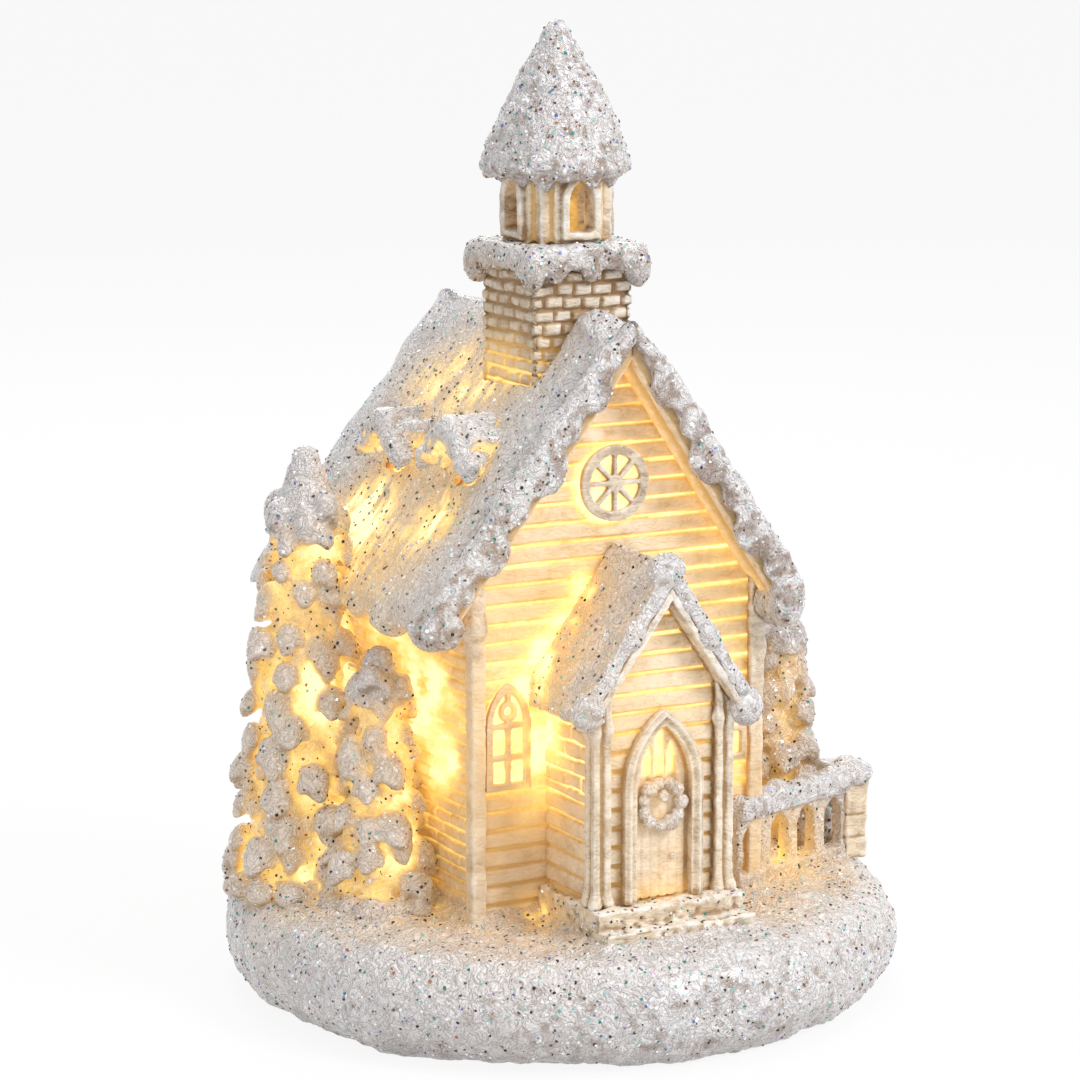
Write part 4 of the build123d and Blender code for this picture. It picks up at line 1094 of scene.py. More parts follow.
def dormer_hood(node, shift, seed):
    """Snow hood with lumps along its front edges and light deep in its mouth."""
    low, high = box(node)
    shape = solid(node)
    middle = (low[1] + high[1]) / 2
    for way in (-1, 1):
        tip = (low[0] + 2.0, middle + way * 9.4, high[2] - 11.4)
        add_lump(shape, tip, (3.0, 3.6, 3.4))
        add_lump(shape, (low[0] + 1.8, middle + way * 5.4, high[2] - 6.0), (2.4, 4.2, 2.1), (way * -47, 0, 0))
        add_lump(shape, (low[0] + 9.0, middle + way * 5.0, high[2] - 6.0), (7.0, 3.4, 3.0), (way * -47, 0, 0))
    add_lump(shape, (low[0] + 2.6, middle, high[2] - 3.0), (3.2, 3.8, 3.0))
    skin = wrap(shape, 0.45)
    skin.relax(12)
    skin.push(0.3 * crumbs(skin.points, seed) + 0.3)
    points = skin.points
    normals = skin.normals()
    hollow = skin.hollow(5)
    across = points[:, 1] - middle
    mouth = (1 - blend(6.5, 9.0, np.abs(across))) * (1 - blend(high[2] - 6.5, high[2] - 4.5, points[:, 2]))
    inward = mouth * blend(0.0, 0.45, -normals[:, 1] * np.sign(across)) * (1 - blend(0.2, 0.6, normals[:, 2]))
    points[:, 1] += shift
    front = 1 - blend(low[0] + 6, low[0] + 12, points[:, 0])
    points[:, 2] += 0.42 * front * np.maximum(high[2] - 8.5 - points[:, 2], 0)
    deep = blend(low[0] + 2.2, low[0] + 4.4, points[:, 0]) * (1 - blend(-0.1, 0.45, normals[:, 2]))
    deep = np.maximum(deep, inward)
    # Painted shade: hollows are darkened brown, except deep in the lit mouth.
    pit = blend(0.06, 0.34, hollow) * (1 - deep)
    glow = 0.85 * deep * (0.8 + 0.3 * noise(points, 3.0, seed + 4))
    skin.store(pit=pit, warm=0.6 * deep + 0.12, glow=glow)
    return crust(node, skin)


snow_pieces["dormers"] = [
    dormer_hood("dormer_front", 3.0, 81),
    dormer_hood("dormer_rear", 0.0, 85),
]

# %% [markdown]
# The tower ends in a snow-topped ledge, an eight-sided belfry with pointed windows and a
# lumpy cone of snow. The ledge and the cone drip unevenly over what is below them.

# %% Tower top


def ledge():
    """Ledge with fat drips at its corners and along its sides."""
    low, high = box("tower_ledge")
    shape = solid("tower_ledge")
    inset = 1.7
    near, far = low[:2] + inset, high[:2] - inset
    corners = [(near[0], near[1]), (far[0], near[1]), (far[0], far[1]), (near[0], far[1])]
    for number in range(4):
        start, end = corners[number], corners[(number + 1) % 4]
        level = (low[2] + high[2]) / 2 + 0.4
        lumps_along(shape, (*start, low[2] + 1.0), (*end, low[2] + 1.0), 8.0, 2.5, 0.6, 95 + number)
        add_lump(shape, (*start, low[2] + 0.8), (3.1, 3.1, 5.2))
        lumps_along(shape, (*start, level), (*end, level), 4.5, 2.2, 0.3, 91 + number)
    skin = wrap(shape, 0.42)
    skin.relax(5)
    skin.push(0.3 * crumbs(skin.points, 101))
    points = skin.points
    # Browner towards the bottom of the drips.
    lower = 1 - blend(low[2] + 1.0, low[2] + 4.5, points[:, 2])
    stain_and_shade = 0.6 * lower * (0.6 + 0.6 * noise(points, 2.2, 103))
    mark_snow(skin, 101, None, stain_and_shade)
    return crust("tower_ledge", skin)


def spire():
    """Cone of snow with a scalloped rim."""
    low, high = box("spire_cap")
    shape = solid("spire_cap")
    radius = (high[0] - low[0]) / 2
    draw = np.random.default_rng(105)
    count = 13
    for number in range(count):
        angle = 2 * math.pi * (number + draw.uniform(-0.25, 0.25)) / count
        size = draw.uniform(2.4, 3.6)
        reach = radius - 3.2 + draw.uniform(-0.5, 0.5)
        x, y = ridge_x + reach * math.cos(angle), tower_y + reach * math.sin(angle)
        add_lump(shape, (x, y, low[2] + 2.4 + draw.uniform(-0.8, 0.8)), (size, size, size * 0.95))
    reach = radius - 6.2
    drips = ((15, 2.6), (58, 2.2), (104, 2.8), (150, 2.3), (200, 2.8), (228, 3.1), (281, 2.7), (318, 3.2))
    for degrees, size in drips:
        angle = math.radians(degrees)
        x, y = ridge_x + reach * math.cos(angle), tower_y + reach * math.sin(angle)
        add_lump(shape, (x, y, low[2] + 1.0), (size, size, 1.3 * size))
    skin = wrap(shape, 0.46)
    skin.relax(4)
    points = skin.points
    skin.push(0.5 * crumbs(points, 107) - 0.8)
    tip = blend(high[2] - 13.0, high[2], points[:, 2])
    points[:, 2] += 1.6 * tip
    bulge = 0.09 * np.sin(math.pi * np.clip((points[:, 2] - low[2] - 2) / (high[2] - low[2]), 0, 1))
    points[:, :2] += (0.36 * tip - bulge)[:, None] * ((ridge_x, tower_y) - points[:, :2])
    mark_snow(skin, 109, None, 0.12 + 0.4 * blend(0.15, 0.5, noise(points, 2.0, 108)))
    return crust("spire_cap", skin)


def belfry():
    """Bell stage with a raised band round each window."""
    shape = solid("belfry")
    half = (belfry_high[0] - belfry_low[0]) / 2
    sill = belfry_low[2] + 2.5
    window = 3.2
    band = 1.7
    outer = pointed_outline(0.0, window + band, sill - band, sill + 7.0, sill + 12.0 + 1.5 * band)
    inner = pointed_outline(0.0, window, sill, sill + 7.0, sill + 12.0)
    for number in range(4):
        turn = Matrix.Rotation(math.pi / 2 * number, 3, "Z")

        def place(u, depth, z):
            """Place on one of the four window sides."""
            spot = turn @ Vector((u, depth, 0.0))
            return (ridge_x + spot.x, tower_y + spot.y, z)

        opening = prism(inner, -half - 3.0, 0.0, place)
        frame_skin = cut(prism(outer, -half - 1.5, -half + 1.0, place), [opening])
        frame_skin.normals()
        shape.from_mesh(frame_skin.mesh)
    skin = wrap(shape, 0.4)
    skin.relax(1)
    points = skin.points
    turned = np.arctan2(points[:, 1] - tower_y, points[:, 0] - ridge_x)
    reach = np.hypot(points[:, 0] - ridge_x, points[:, 1] - tower_y)
    outside = reach > 8.5
    off = np.abs(np.cos(2 * turned)) * outside
    rib = np.exp(-((off / 0.13) ** 2)) * outside
    flute = np.exp(-(((off - 0.34) / 0.15) ** 2)) * outside
    skin.push(0.8 * rib - 0.8 * flute + 0.2 * noise(points, 2.6, 111))
    inside = 0.5 * (1 - blend(7.0, 9.2, reach)) * (0.7 + 0.6 * noise(points, 3.0, 113))
    # Painted lamp light: the flutes get a warm tint and a little glow.
    mark_cast(skin, 115, np.maximum(inside, 0.13 * flute), 0.1, 0.0, 0.35 * flute)
    return cast("belfry", skin)


snow_pieces["tower"] = [ledge(), spire()]
belfry()

# %% [markdown]
# The porch repeats the chapel on a small scale: clapboard gable, brick side walls, two posts
# with dry-brushed edges, a snowy roof and two steps.

# %% Porch
porch_roof_low = box("porch_roof_left")[0]
porch_apex = porch_high[2]
porch_eave_low, porch_eave_high = box("porch_roof_right")
porch_rises = {
    -1: (porch_apex - porch_roof_low[2]) / (ridge_x - porch_roof_low[0]),
    1: (porch_apex - porch_eave_low[2]) / (porch_eave_high[0] - ridge_x),
}
porch_front = porch_low[1]
door_low, door_high = box("door_surround")


def porch_gable():
    """Clapboard gable of the porch with the doorway."""
    u = np.arange(porch_low[0], porch_high[0] + 0.01, 0.75)
    z = np.arange(porch_low[2] - 0.5, porch_high[2] + 1.0, 0.3)
    u, z = np.meshgrid(u, z)
    depth = carve_boards(u, z, porch_low[2], board_pitch, 121)
    outer = np.stack([u, porch_front + depth, z], axis=-1)
    inner = np.stack([u, np.full_like(u, porch_high[1]), z], axis=-1)
    cutters = []
    far = 60.0
    for side in (-1, 1):
        edge = ridge_x + side * far
        outline = [(ridge_x, porch_apex + 1), (edge, porch_apex + 1 - porch_rises[side] * far)]
        outline += [(edge, porch_apex + far), (ridge_x, porch_apex + far)]
        cutters.append(prism(outline, -90.0, 0.0, straight))
    half = (door_high[0] - door_low[0]) / 2 - 1.5
    doorway = pointed_outline(ridge_x, half, porch_low[2] - 2, porch_low[2] + 26.0, door_high[2] - 2.5)
    cutters.append(prism(doorway, -90.0, 0.0, straight))
    skin = cut(slab_shape(outer, inner, False), cutters)
    points = skin.points
    carved = points[:, 1] - porch_front
    inside = blend(1.5, 2.4, carved)
    dim_below, bright_above = 56, 80
    height = blend(dim_below, bright_above, points[:, 2])
    light = (0.25 + 0.6 * height) * (0.85 + 0.3 * noise(points, 9.0, 125))
    level = board_level(points[:, 0], points[:, 2], porch_low[2], board_pitch, 121)
    near = np.exp(-np.abs(level - np.round(level)) * board_pitch / 0.75)
    shine = (0.16 + 0.26 * near) * (0.35 + 0.65 * height)
    mark_wall(skin, carved, inside, light, 127, shine)
    return cast("porch_front_wall", skin)


def porch_side(node, side, seed):
    """Side wall of the porch: boards below and bricks above."""
    low, high = box(node)
    outer_x = low[0] if side < 0 else high[0]
    inner_x = high[0] if side < 0 else low[0]
    u = np.arange(low[1] - 0.3, high[1] + 0.31, 0.4)
    z = np.arange(low[2] - 0.5, high[2] + 0.6, 0.33)
    u, z = np.meshgrid(u, z)
    bricks = carve_bricks(u, z, floor_z, brick_length, 3.6, seed)
    depth = np.where(z > low[2] + 24, bricks, carve_boards(u, z, floor_z, board_pitch, seed + 1))
    outer = np.stack([outer_x - side * depth, u, z], axis=-1)
    inner = np.stack([np.full_like(u, inner_x), u, z], axis=-1)
    skin = Skin(to_object(slab_shape(outer, inner, False), "porch_side").data)
    points = skin.points
    carved = side * (outer_x - points[:, 0])
    inside = blend(1.5, 2.4, carved)
    light = 0.3 + 0.6 * blend(38, 62, points[:, 2])
    mark_wall(skin, carved, inside, light, seed + 3)
    bpy.data.objects.remove(bpy.data.objects["porch_side"])
    return cast(node, skin)


def porch_snow(node, side, seed):
    """Snow of one porch slope with a lumpy front edge."""
    low, high = box(node)
    shape = solid(node)
    edge = porch_roof_low[0] if side < 0 else porch_eave_high[0]
    front = low[1]
    thick = high[2] - porch_apex

    def level(x, lift):
        """Height of the porch's slope at x."""
        return porch_apex + lift - porch_rises[side] * abs(x - ridge_x)

    lean = side * math.degrees(math.atan(porch_rises[side]))
    for share, size in ((0.2, 2.2), (0.48, 2.9), (0.8, 2.5)):
        x = ridge_x + side * share * abs(edge - ridge_x)
        spot = (x, front + 1.2, level(x, 0.58 * thick))
        add_lump(shape, spot, (1.5 * size, 0.8 * size, size), (0, lean, 0))
    add_lump(shape, (edge + side * 0.4, front + 3.0, level(edge, 3.4)), (4.4, 4.2, 4.8))
    eave = [(edge + side * 0.2, y, level(edge, 3.0)) for y in (front + 5, front_y - 3)]
    lumps_along(shape, *eave, 5.4, 2.9, 0.4, seed + 2)
    if side < 0:
        add_lump(shape, (ridge_x - 0.5, front + 2.4, high[2] - 2.6), (4.8, 4.2, 4.2))
    skin = wrap(shape, 0.46)
    skin.relax(8)
    points = skin.points
    groove = np.exp(-((points[:, 1] - front - 6.0) / 2.4) ** 2)
    skin.push(0.26 * crumbs(points, seed) - 0.9 * groove)
    mark_snow(skin, seed)
    return crust(node, skin)


porch_gable()
porch_side("porch_wall_left", -1, 131)
porch_side("porch_wall_right", 1, 135)
snow_pieces["porch"] = [porch_snow("porch_snow_left", -1, 141), porch_snow("porch_snow_right", 1, 145)]
cast_piece("porch_roof_left", solid("porch_roof_left"), 0.5, 0.16, 151)
cast_piece("porch_roof_right", solid("porch_roof_right"), 0.5, 0.16, 153)
snow_pieces["steps"] = [cast_piece("porch_steps", solid("porch_steps"), 0.46, 0.6, 155)]


def porch_post(node, seed):
    """Post of two ribs with a spreading foot and a small capital."""
    low, high = box(node)
    skin = wrap(solid(node), 0.34)
    skin.relax(2)
    points = skin.points
    middle = (low + high) / 2
    groove_x = np.exp(-((points[:, 0] - middle[0]) / 0.55) ** 2)
    groove_y = np.exp(-((points[:, 1] - middle[1]) / 0.55) ** 2)
    normals = np.abs(skin.normals())
    grooves = groove_x * blend(0.4, 0.8, normals[:, 1]) + groove_y * blend(0.4, 0.8, normals[:, 0])
    height = points[:, 2] - low[2]
    ends = np.exp(-(height / 2.6) ** 2) + 0.8 * np.exp(-((height - 40.0) / 1.6) ** 2)
    wobble = 0.16 * noise(points, 3.0, seed) + 0.1 * noise(points, 1.4, seed + 1)
    skin.push(wobble - 0.95 * grooves + 0.9 * ends * (1 - blend(0.5, 0.9, normals[:, 2])))
    mark_cast(skin, seed + 2)
    return cast(node, skin)


porch_post("porch_post_left", 157)
porch_post("porch_post_right", 161)

# %% [markdown]
# Windows, the door and its surround are small castings: their solids are wrapped finely, so
# that every edge is soft and a little uneven. Behind its bars each window gets a lit pane.

# %% Windows and door


def window(node, axis, way, seed):
    """Window with a lit pane; axis is the way it looks through, way its outward sign."""
    low, high = box(node)
    across = 1 - axis
    centre = (low[across] + high[across]) / 2
    if node == "round_window":
        pane_radius = 7.6
        outline = round_outline(centre, round_centre[2], pane_radius, 32)
    else:
        half, foot = window_half - hidden_edge, low[2] + hidden_edge
        outline = pointed_outline(centre, half, foot, high[2] - window_rise, high[2] - 1.2)
    back = high[axis] if way < 0 else low[axis]

    def place(u, depth, z):
        """Place on the wall that holds the window."""
        return (depth, u, z) if axis == 0 else (u, depth, z)

    holder = to_object(prism(outline, back + 0.5 * way, back - 0.4 * way, place), "pane")
    shape = solid(node)
    shape.from_mesh(holder.data)
    bpy.data.objects.remove(holder)
    skin = wrap(shape, 0.3)
    skin.relax(1)
    points = skin.points
    skin.push(0.1 * noise(points, 4.0, seed) + 0.06 * noise(points, 1.6, seed + 1))
    deep = 1 - blend(0.65, 0.95, way * (points[:, axis] - back))
    glow = deep * (0.82 + 0.2 * noise(points, 5.0, seed + 2))
    mark_cast(skin, seed + 3, glow, 0.2 * (1 - deep), deep)
    return cast(node, skin)


window("round_window", 1, -1, 171)
window("window_front_left", 1, -1, 174)
window("window_front_right", 1, -1, 177)
window("window_rear", 1, 1, 180)
window("window_right_front", 0, 1, 183)
window("window_right_rear", 0, 1, 186)


def surround():
    """Pointed surround of the door with a raised rib along its middle."""
    skin = wrap(solid("door_surround"), 0.26)
    skin.relax(1)
    points = skin.points
    half = (door_high[0] - door_low[0]) / 2
    spring = door_low[2] + 26.0
    head = door_high[2] - spring
    radius = (half * half + head * head) / (2 * half)
    side = np.abs(points[:, 0] - ridge_x)
    arch = np.hypot(side + radius - half, np.maximum(points[:, 2] - spring, 0)) - (radius - half)
    inset = half - arch
    faces = blend(0.4, 0.8, -skin.normals()[:, 1])
    rib = np.exp(-((inset - 1.1) / 0.6) ** 2) + 0.8 * np.exp(-((inset - 3.4) / 0.45) ** 2)
    skin.push(faces * (0.75 * rib - 0.35) + 0.08 * noise(points, 2.0, 191))
    mark_cast(skin, 193)
    return cast("door_surround", skin)


def door():
    """Door leaf with upright boards, three pointed lights in its head and no gap beside it."""
    low, high = box("front_door")
    half = (door_high[0] - door_low[0]) / 2 - 1.1
    shape = solid("front_door")
    backing = pointed_outline(ridge_x, half, low[2], door_low[2] + 26.0, door_high[2] - 3.6)
    panel = prism(backing, high[1] - 0.7, high[1] + 0.7, straight)
    holder = to_object(panel, "panel")
    shape.from_mesh(holder.data)
    bpy.data.objects.remove(holder)
    skin = wrap(shape, 0.3)
    skin.relax(1)
    points = skin.points
    across = points[:, 0] - ridge_x
    boards = across / 2.3
    joint = np.exp(-((boards - np.round(boards)) * 2.3 / 0.32) ** 2)
    glass = np.zeros(len(points))
    sill = 61.0
    for centre, half, peak in ((0.0, 1.35, 73.0), (-3.0, 1.15, 69.0), (3.0, 1.15, 69.0)):
        inset = np.abs(across - centre) / half + np.maximum((points[:, 2] - peak + 4.0) / 4.0, 0) ** 2
        glass = np.maximum(glass, 1 - blend(0.75, 1.1, inset))
    glass = glass * blend(sill - 0.4, sill + 0.4, points[:, 2])
    leaf = 1 - blend(sill - 1.0, sill, points[:, 2])
    skin.push(0.08 * noise(points, 2.0, 195) - 0.3 * joint * leaf - 0.7 * glass)
    foot = 0.25 * (1 - blend(34.0, 40.0, points[:, 2]))
    glow = 0.11 + 0.12 * (1 - leaf) + 0.62 * glass + foot + 0.08 * noise(points, 4.0, 197)
    mark_cast(skin, 198, glow, 0.0, 0.75)
    return cast("front_door", skin)


surround()
door()

# %% [markdown]
# Mouldings cover the corners of the walls. Each has a knotted bracket under the eave.

# %% Corner posts


def corner_post(node, seed):
    """Corner moulding with a knotted bracket under the eave."""
    low, high = box(node)
    shape = solid(node)
    x = low[0] + 1.0 if low[0] < ridge_x else high[0] - 1.0
    y = low[1] + 1.0 if low[1] < tower_y else high[1] - 1.0
    top = high[2] - 8.0
    thick = 1.0 if low[0] < ridge_x else 0.6
    for drop, size in ((0.0, 2.0), (5.0, 2.6), (9.5, 3.2), (14.0, 2.3)):
        add_lump(shape, (x, y, top - drop), (thick * size, thick * size, size * 1.15))
    return cast_piece(node, shape, 0.38, 0.2, seed)


for number, node in enumerate(("front_left", "front_right", "rear_left", "rear_right")):
    corner_post("corner_post_" + node, 201 + 3 * number)

# %% [markdown]
# The wreath on the door is a ring of round tufts. Geometry Nodes put a tuft on each point of a
# circle, shifted and sized at random, and the tufts are then wrapped together. The helpers that
# start, end and run a geometry tree serve the firs and the glitter too.

# %% Wreath


def geometry_tree(name, inputs):
    """New geometry tree with named inputs, and the wires of those inputs."""
    tree = bpy.data.node_groups.new(name, "GeometryNodeTree")
    tree.interface.new_socket("Geometry", in_out="INPUT", socket_type="NodeSocketGeometry")
    for label, (kind, value) in inputs.items():
        socket = tree.interface.new_socket(label, in_out="INPUT", socket_type="NodeSocket" + kind)
        if value is not None:
            socket.default_value = value
    tree.interface.new_socket("Geometry", in_out="OUTPUT", socket_type="NodeSocketGeometry")
    graph = Graph(tree)
    entry = tree.nodes.new("NodeGroupInput")
    wires = {label: Wire(graph, entry.outputs[label]) for label in ["Geometry", *inputs]}
    return graph, wires


def end_tree(graph, geometry, material):
    """Realizes the instances, gives them their material and ends the tree."""
    real = graph.node("GeometryNodeRealizeInstances", None, {0: geometry})
    dressed = graph.node("GeometryNodeSetMaterial", None, {"Geometry": real, "Material": material})
    exit_node = graph.tree.nodes.new("NodeGroupOutput")
    graph.tree.links.new(dressed.socket, exit_node.inputs["Geometry"])


def grow(tree, values, source=None):
    """Plain mesh that a geometry tree makes with these input values."""
    mesh = source or bpy.data.meshes.new("seedbed")
    holder = bpy.data.objects.new("holder", mesh)
    bpy.context.scene.collection.objects.link(holder)
    modifier = holder.modifiers.new("grow", "NODES")
    modifier.node_group = tree
    sockets = {item.name: item.identifier for item in tree.interface.items_tree if item.in_out == "INPUT"}
    for label, value in values.items():
        modifier[sockets[label]] = value
    graph = bpy.context.evaluated_depsgraph_get()
    grown = bpy.data.meshes.new_from_object(holder.evaluated_get(graph))
    bpy.data.objects.remove(holder)
    return grown


def random_value(graph, low, high, seed):
    """Random number for each point."""
    return graph.node("FunctionNodeRandomValue", {"data_type": "FLOAT"}, {2: low, 3: high, 8: seed}, 1)


def clump_mesh(graph, size, droop):
    """Drop that points along X, broad behind and narrow at its hanging tip."""
    ball = graph.node("GeometryNodeMeshIcoSphere", None, {"Radius": size, "Subdivisions": 3}, "Mesh")
    where = graph.node("GeometryNodeInputPosition")
    x = graph.node("ShaderNodeSeparateXYZ", None, {0: where})
    y = Wire(graph, x.socket.node.outputs[1])
    z = Wire(graph, x.socket.node.outputs[2])
    share = x / size
    thin = 0.84 - 0.3 * share
    hang = droop * (share + 1.0) * (share + 1.0) * size / 4.0
    shape = graph.node("ShaderNodeCombineXYZ", None, {0: x * 1.15, 1: y * thin, 2: z * thin * 0.78 - hang})
    return graph.node("GeometryNodeSetPosition", None, {"Geometry": ball, "Position": shape})


def paw_mesh(graph, size):
    """Three drops side by side: a broad one and a smaller one at each hand."""
    middle = clump_mesh(graph, size, 0.5)
    paw = graph.node("GeometryNodeJoinGeometry", None, {0: middle})
    for way in (-1.0, 1.0):
        shift = {0: size * -0.25, 1: size * way * 0.52, 2: size * -0.12}
        hand = graph.node("GeometryNodeTransform", None, {
            "Geometry": middle,
            "Translation": graph.node("ShaderNodeCombineXYZ", None, shift),
            "Rotation": (0.0, 0.25, way * 0.8),
            "Scale": (0.66, 0.6, 0.66),
        })
        graph.tree.links.new(hand.socket, paw.socket.node.inputs[0])
    return paw


def wreath_tree():
    """Tufts round a ring that stands upright on the door."""
    inputs = {
        "Tufts": ("Int", 11), "Ring Radius": ("Float", 0.005),
        "Tuft Size": ("Float", 0.002), "Seed": ("Int", 5),
    }
    graph, wire = geometry_tree("wreath_tufts", inputs)
    points = graph.node("GeometryNodePoints", None, {"Count": wire["Tufts"]})
    number = graph.node("GeometryNodeInputIndex")
    jitter = random_value(graph, -0.16, 0.16, wire["Seed"])
    angle = (number + jitter) * (2 * math.pi) / wire["Tufts"]
    x = angle.math("COSINE", angle) * wire["Ring Radius"]
    z = angle.math("SINE", angle) * wire["Ring Radius"]
    spot = graph.node("ShaderNodeCombineXYZ", None, {0: x, 2: z})
    set_points = graph.node("GeometryNodeSetPosition", None, {"Geometry": points, "Position": spot})
    size = random_value(graph, 0.85, 1.2, wire["Seed"] + 2)
    ball = {"Radius": wire["Tuft Size"], "Subdivisions": 3}
    clump = graph.node("GeometryNodeMeshIcoSphere", None, ball, "Mesh")
    tufts = graph.node(
        "GeometryNodeInstanceOnPoints", None,
        {"Points": set_points, "Instance": clump, "Scale": size},
    )
    end_tree(graph, tufts, snow_crust)
    return graph.tree


def wreath():
    """Ring of tufts with a knot at its top, and the door's knob below it."""
    low, high = box("wreath")
    centre = (low + high) / 2
    tube = (high[1] - low[1]) / 2
    values = {"Ring Radius": ((high[0] - low[0]) / 2 - 1.7) * MM, "Tuft Size": 1.6 * MM}
    mesh = grow(wreath_tree(), values)
    mesh.transform(Matrix.Translation(Vector(centre) * MM))
    shape = bmesh.new()
    shape.from_mesh(mesh)
    add_lump(shape, (centre[0], low[1] + 0.6, high[2] - 4.6), (1.4, 1.1, 1.3))
    add_lump(shape, (centre[0] + 3.3, high[1] + tube * 0.2, low[2] - 6.0), (0.9, 1.0, 0.9))
    skin = wrap(shape, 0.22)
    skin.relax(1)
    skin.push(0.3 * np.abs(noise(skin.points, 1.3, 231)) - 0.1)
    mark_snow(skin, 233)
    return finish_piece("wreath_tufts", skin, snow_crust, ["wreath"])


wreath()

# %% [markdown]
# The balustrade runs from the chapel's corner to a pier. A bed, a panel with pointed gaps and a
# rail are wrapped together with a row of snow lumps. The gaps stay open, so that the light of
# the wall behind comes through.

# %% Balustrade


def rail_run(start, end, gaps):
    """Bed, pierced panel and rail of a balustrade along a line in plan."""
    low, high = box("balustrade_front")
    start, end = Vector(start), Vector(end)
    length = (end - start).length
    way = (end - start) / length

    def along(u, depth, z):
        """Place along the run."""
        spot = start + way * u + Vector((way.y, -way.x)) * depth
        return (spot.x, spot.y, z)

    def bar(foot, top, half):
        """Straight bar of the whole run."""
        return prism([(0, foot), (length, foot), (length, top), (0, top)], -half, half, along)

    bed_top, panel_top = low[2] + 4.0, high[2] - 5.0
    pitch = length / gaps
    arches = []
    for number in range(gaps):
        centre, half = (number + 0.5) * pitch, pitch / 2 - 1.9
        outline = pointed_outline(centre, half, bed_top, panel_top - 5.0, panel_top - 1.0)
        arches.append(prism(outline, -9.0, 9.0, along))
    panel = cut(bar(bed_top - 1, panel_top + 1, 1.7), arches)
    panel.normals()
    shape = bmesh.new()
    shape.from_mesh(panel.mesh)
    for part in (bar(low[2], bed_top, 2.5), bar(panel_top, high[2], 3.0)):
        holder = to_object(part, "bar")
        shape.from_mesh(holder.data)
        bpy.data.objects.remove(holder)
    return shape


def balustrade(node, shape, start, end, seed):
    """Run of the balustrade with a lumpy snowy rail from start to end."""
    high = box(node)[1]
    top = high[2] - 1.6
    lumps_along(shape, (*start, top), (*end, top), 4.2, 3.0, 0.4, seed)
    skin = wrap(shape, 0.42)
    skin.relax(4)
    points = skin.points
    skin.push(0.22 * crumbs(points, seed))
    below = 1 - blend(high[2] - 7.0, high[2] - 4.0, points[:, 2])
    mark_snow(skin, seed, None, 0.3 * below * (0.6 + 0.6 * noise(points, 2.5, seed + 8)))
    near = warmth(points, 1.2)
    # Warm tint under the rail, stronger near the warm places, where it is painted lamp light.
    skin.store(warm=below * (0.25 + 0.4 * near) + 0.08 * near, glow=below * (0.65 * near - 0.1))
    return crust(node, skin)


def pier():
    """Corner pier with faint courses."""
    low, high = box("corner_pier")
    skin = wrap(solid("corner_pier"), 0.4)
    skin.relax(5)
    points = skin.points
    course = (points[:, 2] - low[2]) / 5.6
    joint = np.exp(-((course - np.round(course)) * 5.6 / 0.5) ** 2) * (points[:, 2] < high[2] - 7.0)
    skin.push(0.4 * noise(points, 4.0, 243) + 0.2 * noise(points, 2.0, 244) - 0.35 * joint)
    mark_cast(skin, 245)
    return cast("corner_pier", skin)


pier_low, pier_high = box("corner_pier")
pier_middle = (pier_low + pier_high) / 2
rail_start, rail_end = (right_x - 6.0, front_y - 2.2), (pier_low[0] + 0.5, pier_middle[1])
rail_back = (pier_middle[0], box("balustrade_return")[1][1])
front_run = rail_run(rail_start, rail_end, 4)
add_lump(front_run, (pier_middle[0] + 0.4, pier_middle[1], pier_high[2] - 1.2), (4.9, 4.9, 3.6))
snow_pieces["balustrade"] = [
    balustrade("balustrade_front", front_run, rail_start, pier_middle[:2], 241),
    balustrade("balustrade_return", solid("balustrade_return"), pier_middle[:2], rail_back, 247),
]
pier()

# %% [markdown]
# The firs are cones studded with clumps of snow like paws, three drops side by side. One
# geometry tree makes all three from a rule: points climb a spiral with the golden angle, so that
# no two clumps line up, and each clump points outwards, droops and changes size at random. A
# second layer of small clumps lies between the large ones, and light comes through there.

# %% Firs


def fir_tree():
    """Clumps on a golden-angle spiral up a cone."""
    inputs = {
        "Clumps": ("Int", 60), "Height": ("Float", 0.08), "Foot Rim": ("Float", 0.019),
        "Top Rim": ("Float", 0.01), "Clump Size": ("Float", 0.005), "Seed": ("Int", 1),
    }
    graph, wire = geometry_tree("fir_clumps", inputs)
    points = graph.node("GeometryNodePoints", None, {"Count": wire["Clumps"]})
    number = graph.node("GeometryNodeInputIndex")
    share = number / wire["Clumps"]
    golden = math.pi * (3 - math.sqrt(5))
    angle = number * golden + random_value(graph, -0.35, 0.35, wire["Seed"])
    radius = wire["Foot Rim"] + (wire["Top Rim"] - wire["Foot Rim"]) * share
    radius = radius * random_value(graph, 0.84, 1.06, wire["Seed"] + 1)
    height = share * wire["Height"] + random_value(graph, -0.0025, 0.0025, wire["Seed"] + 2)
    x = angle.math("COSINE", angle) * radius
    y = angle.math("SINE", angle) * radius
    spot = graph.node("ShaderNodeCombineXYZ", None, {0: x, 1: y, 2: height})
    placed = graph.node("GeometryNodeSetPosition", None, {"Geometry": points, "Position": spot})
    droop = random_value(graph, 0.3, 0.95, wire["Seed"] + 3)
    sway = random_value(graph, -0.45, 0.45, wire["Seed"] + 5)
    turn = graph.node("ShaderNodeCombineXYZ", None, {1: droop, 2: angle + sway})
    size = random_value(graph, 0.75, 1.2, wire["Seed"] + 4) * (1.2 - 0.4 * share)
    clump = paw_mesh(graph, wire["Clump Size"])
    clumps = graph.node(
        "GeometryNodeInstanceOnPoints", None,
        {"Points": placed, "Instance": clump, "Rotation": turn, "Scale": size},
    )
    end_tree(graph, clumps, snow_crust)
    return graph.tree


fir_rule = fir_tree()


def tree_middle(node):
    """Axis of a fir from its uncut top."""
    points = np.array([vertex.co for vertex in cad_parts[node].data.vertices]) / MM
    return points[np.argmax(points[:, 2])]


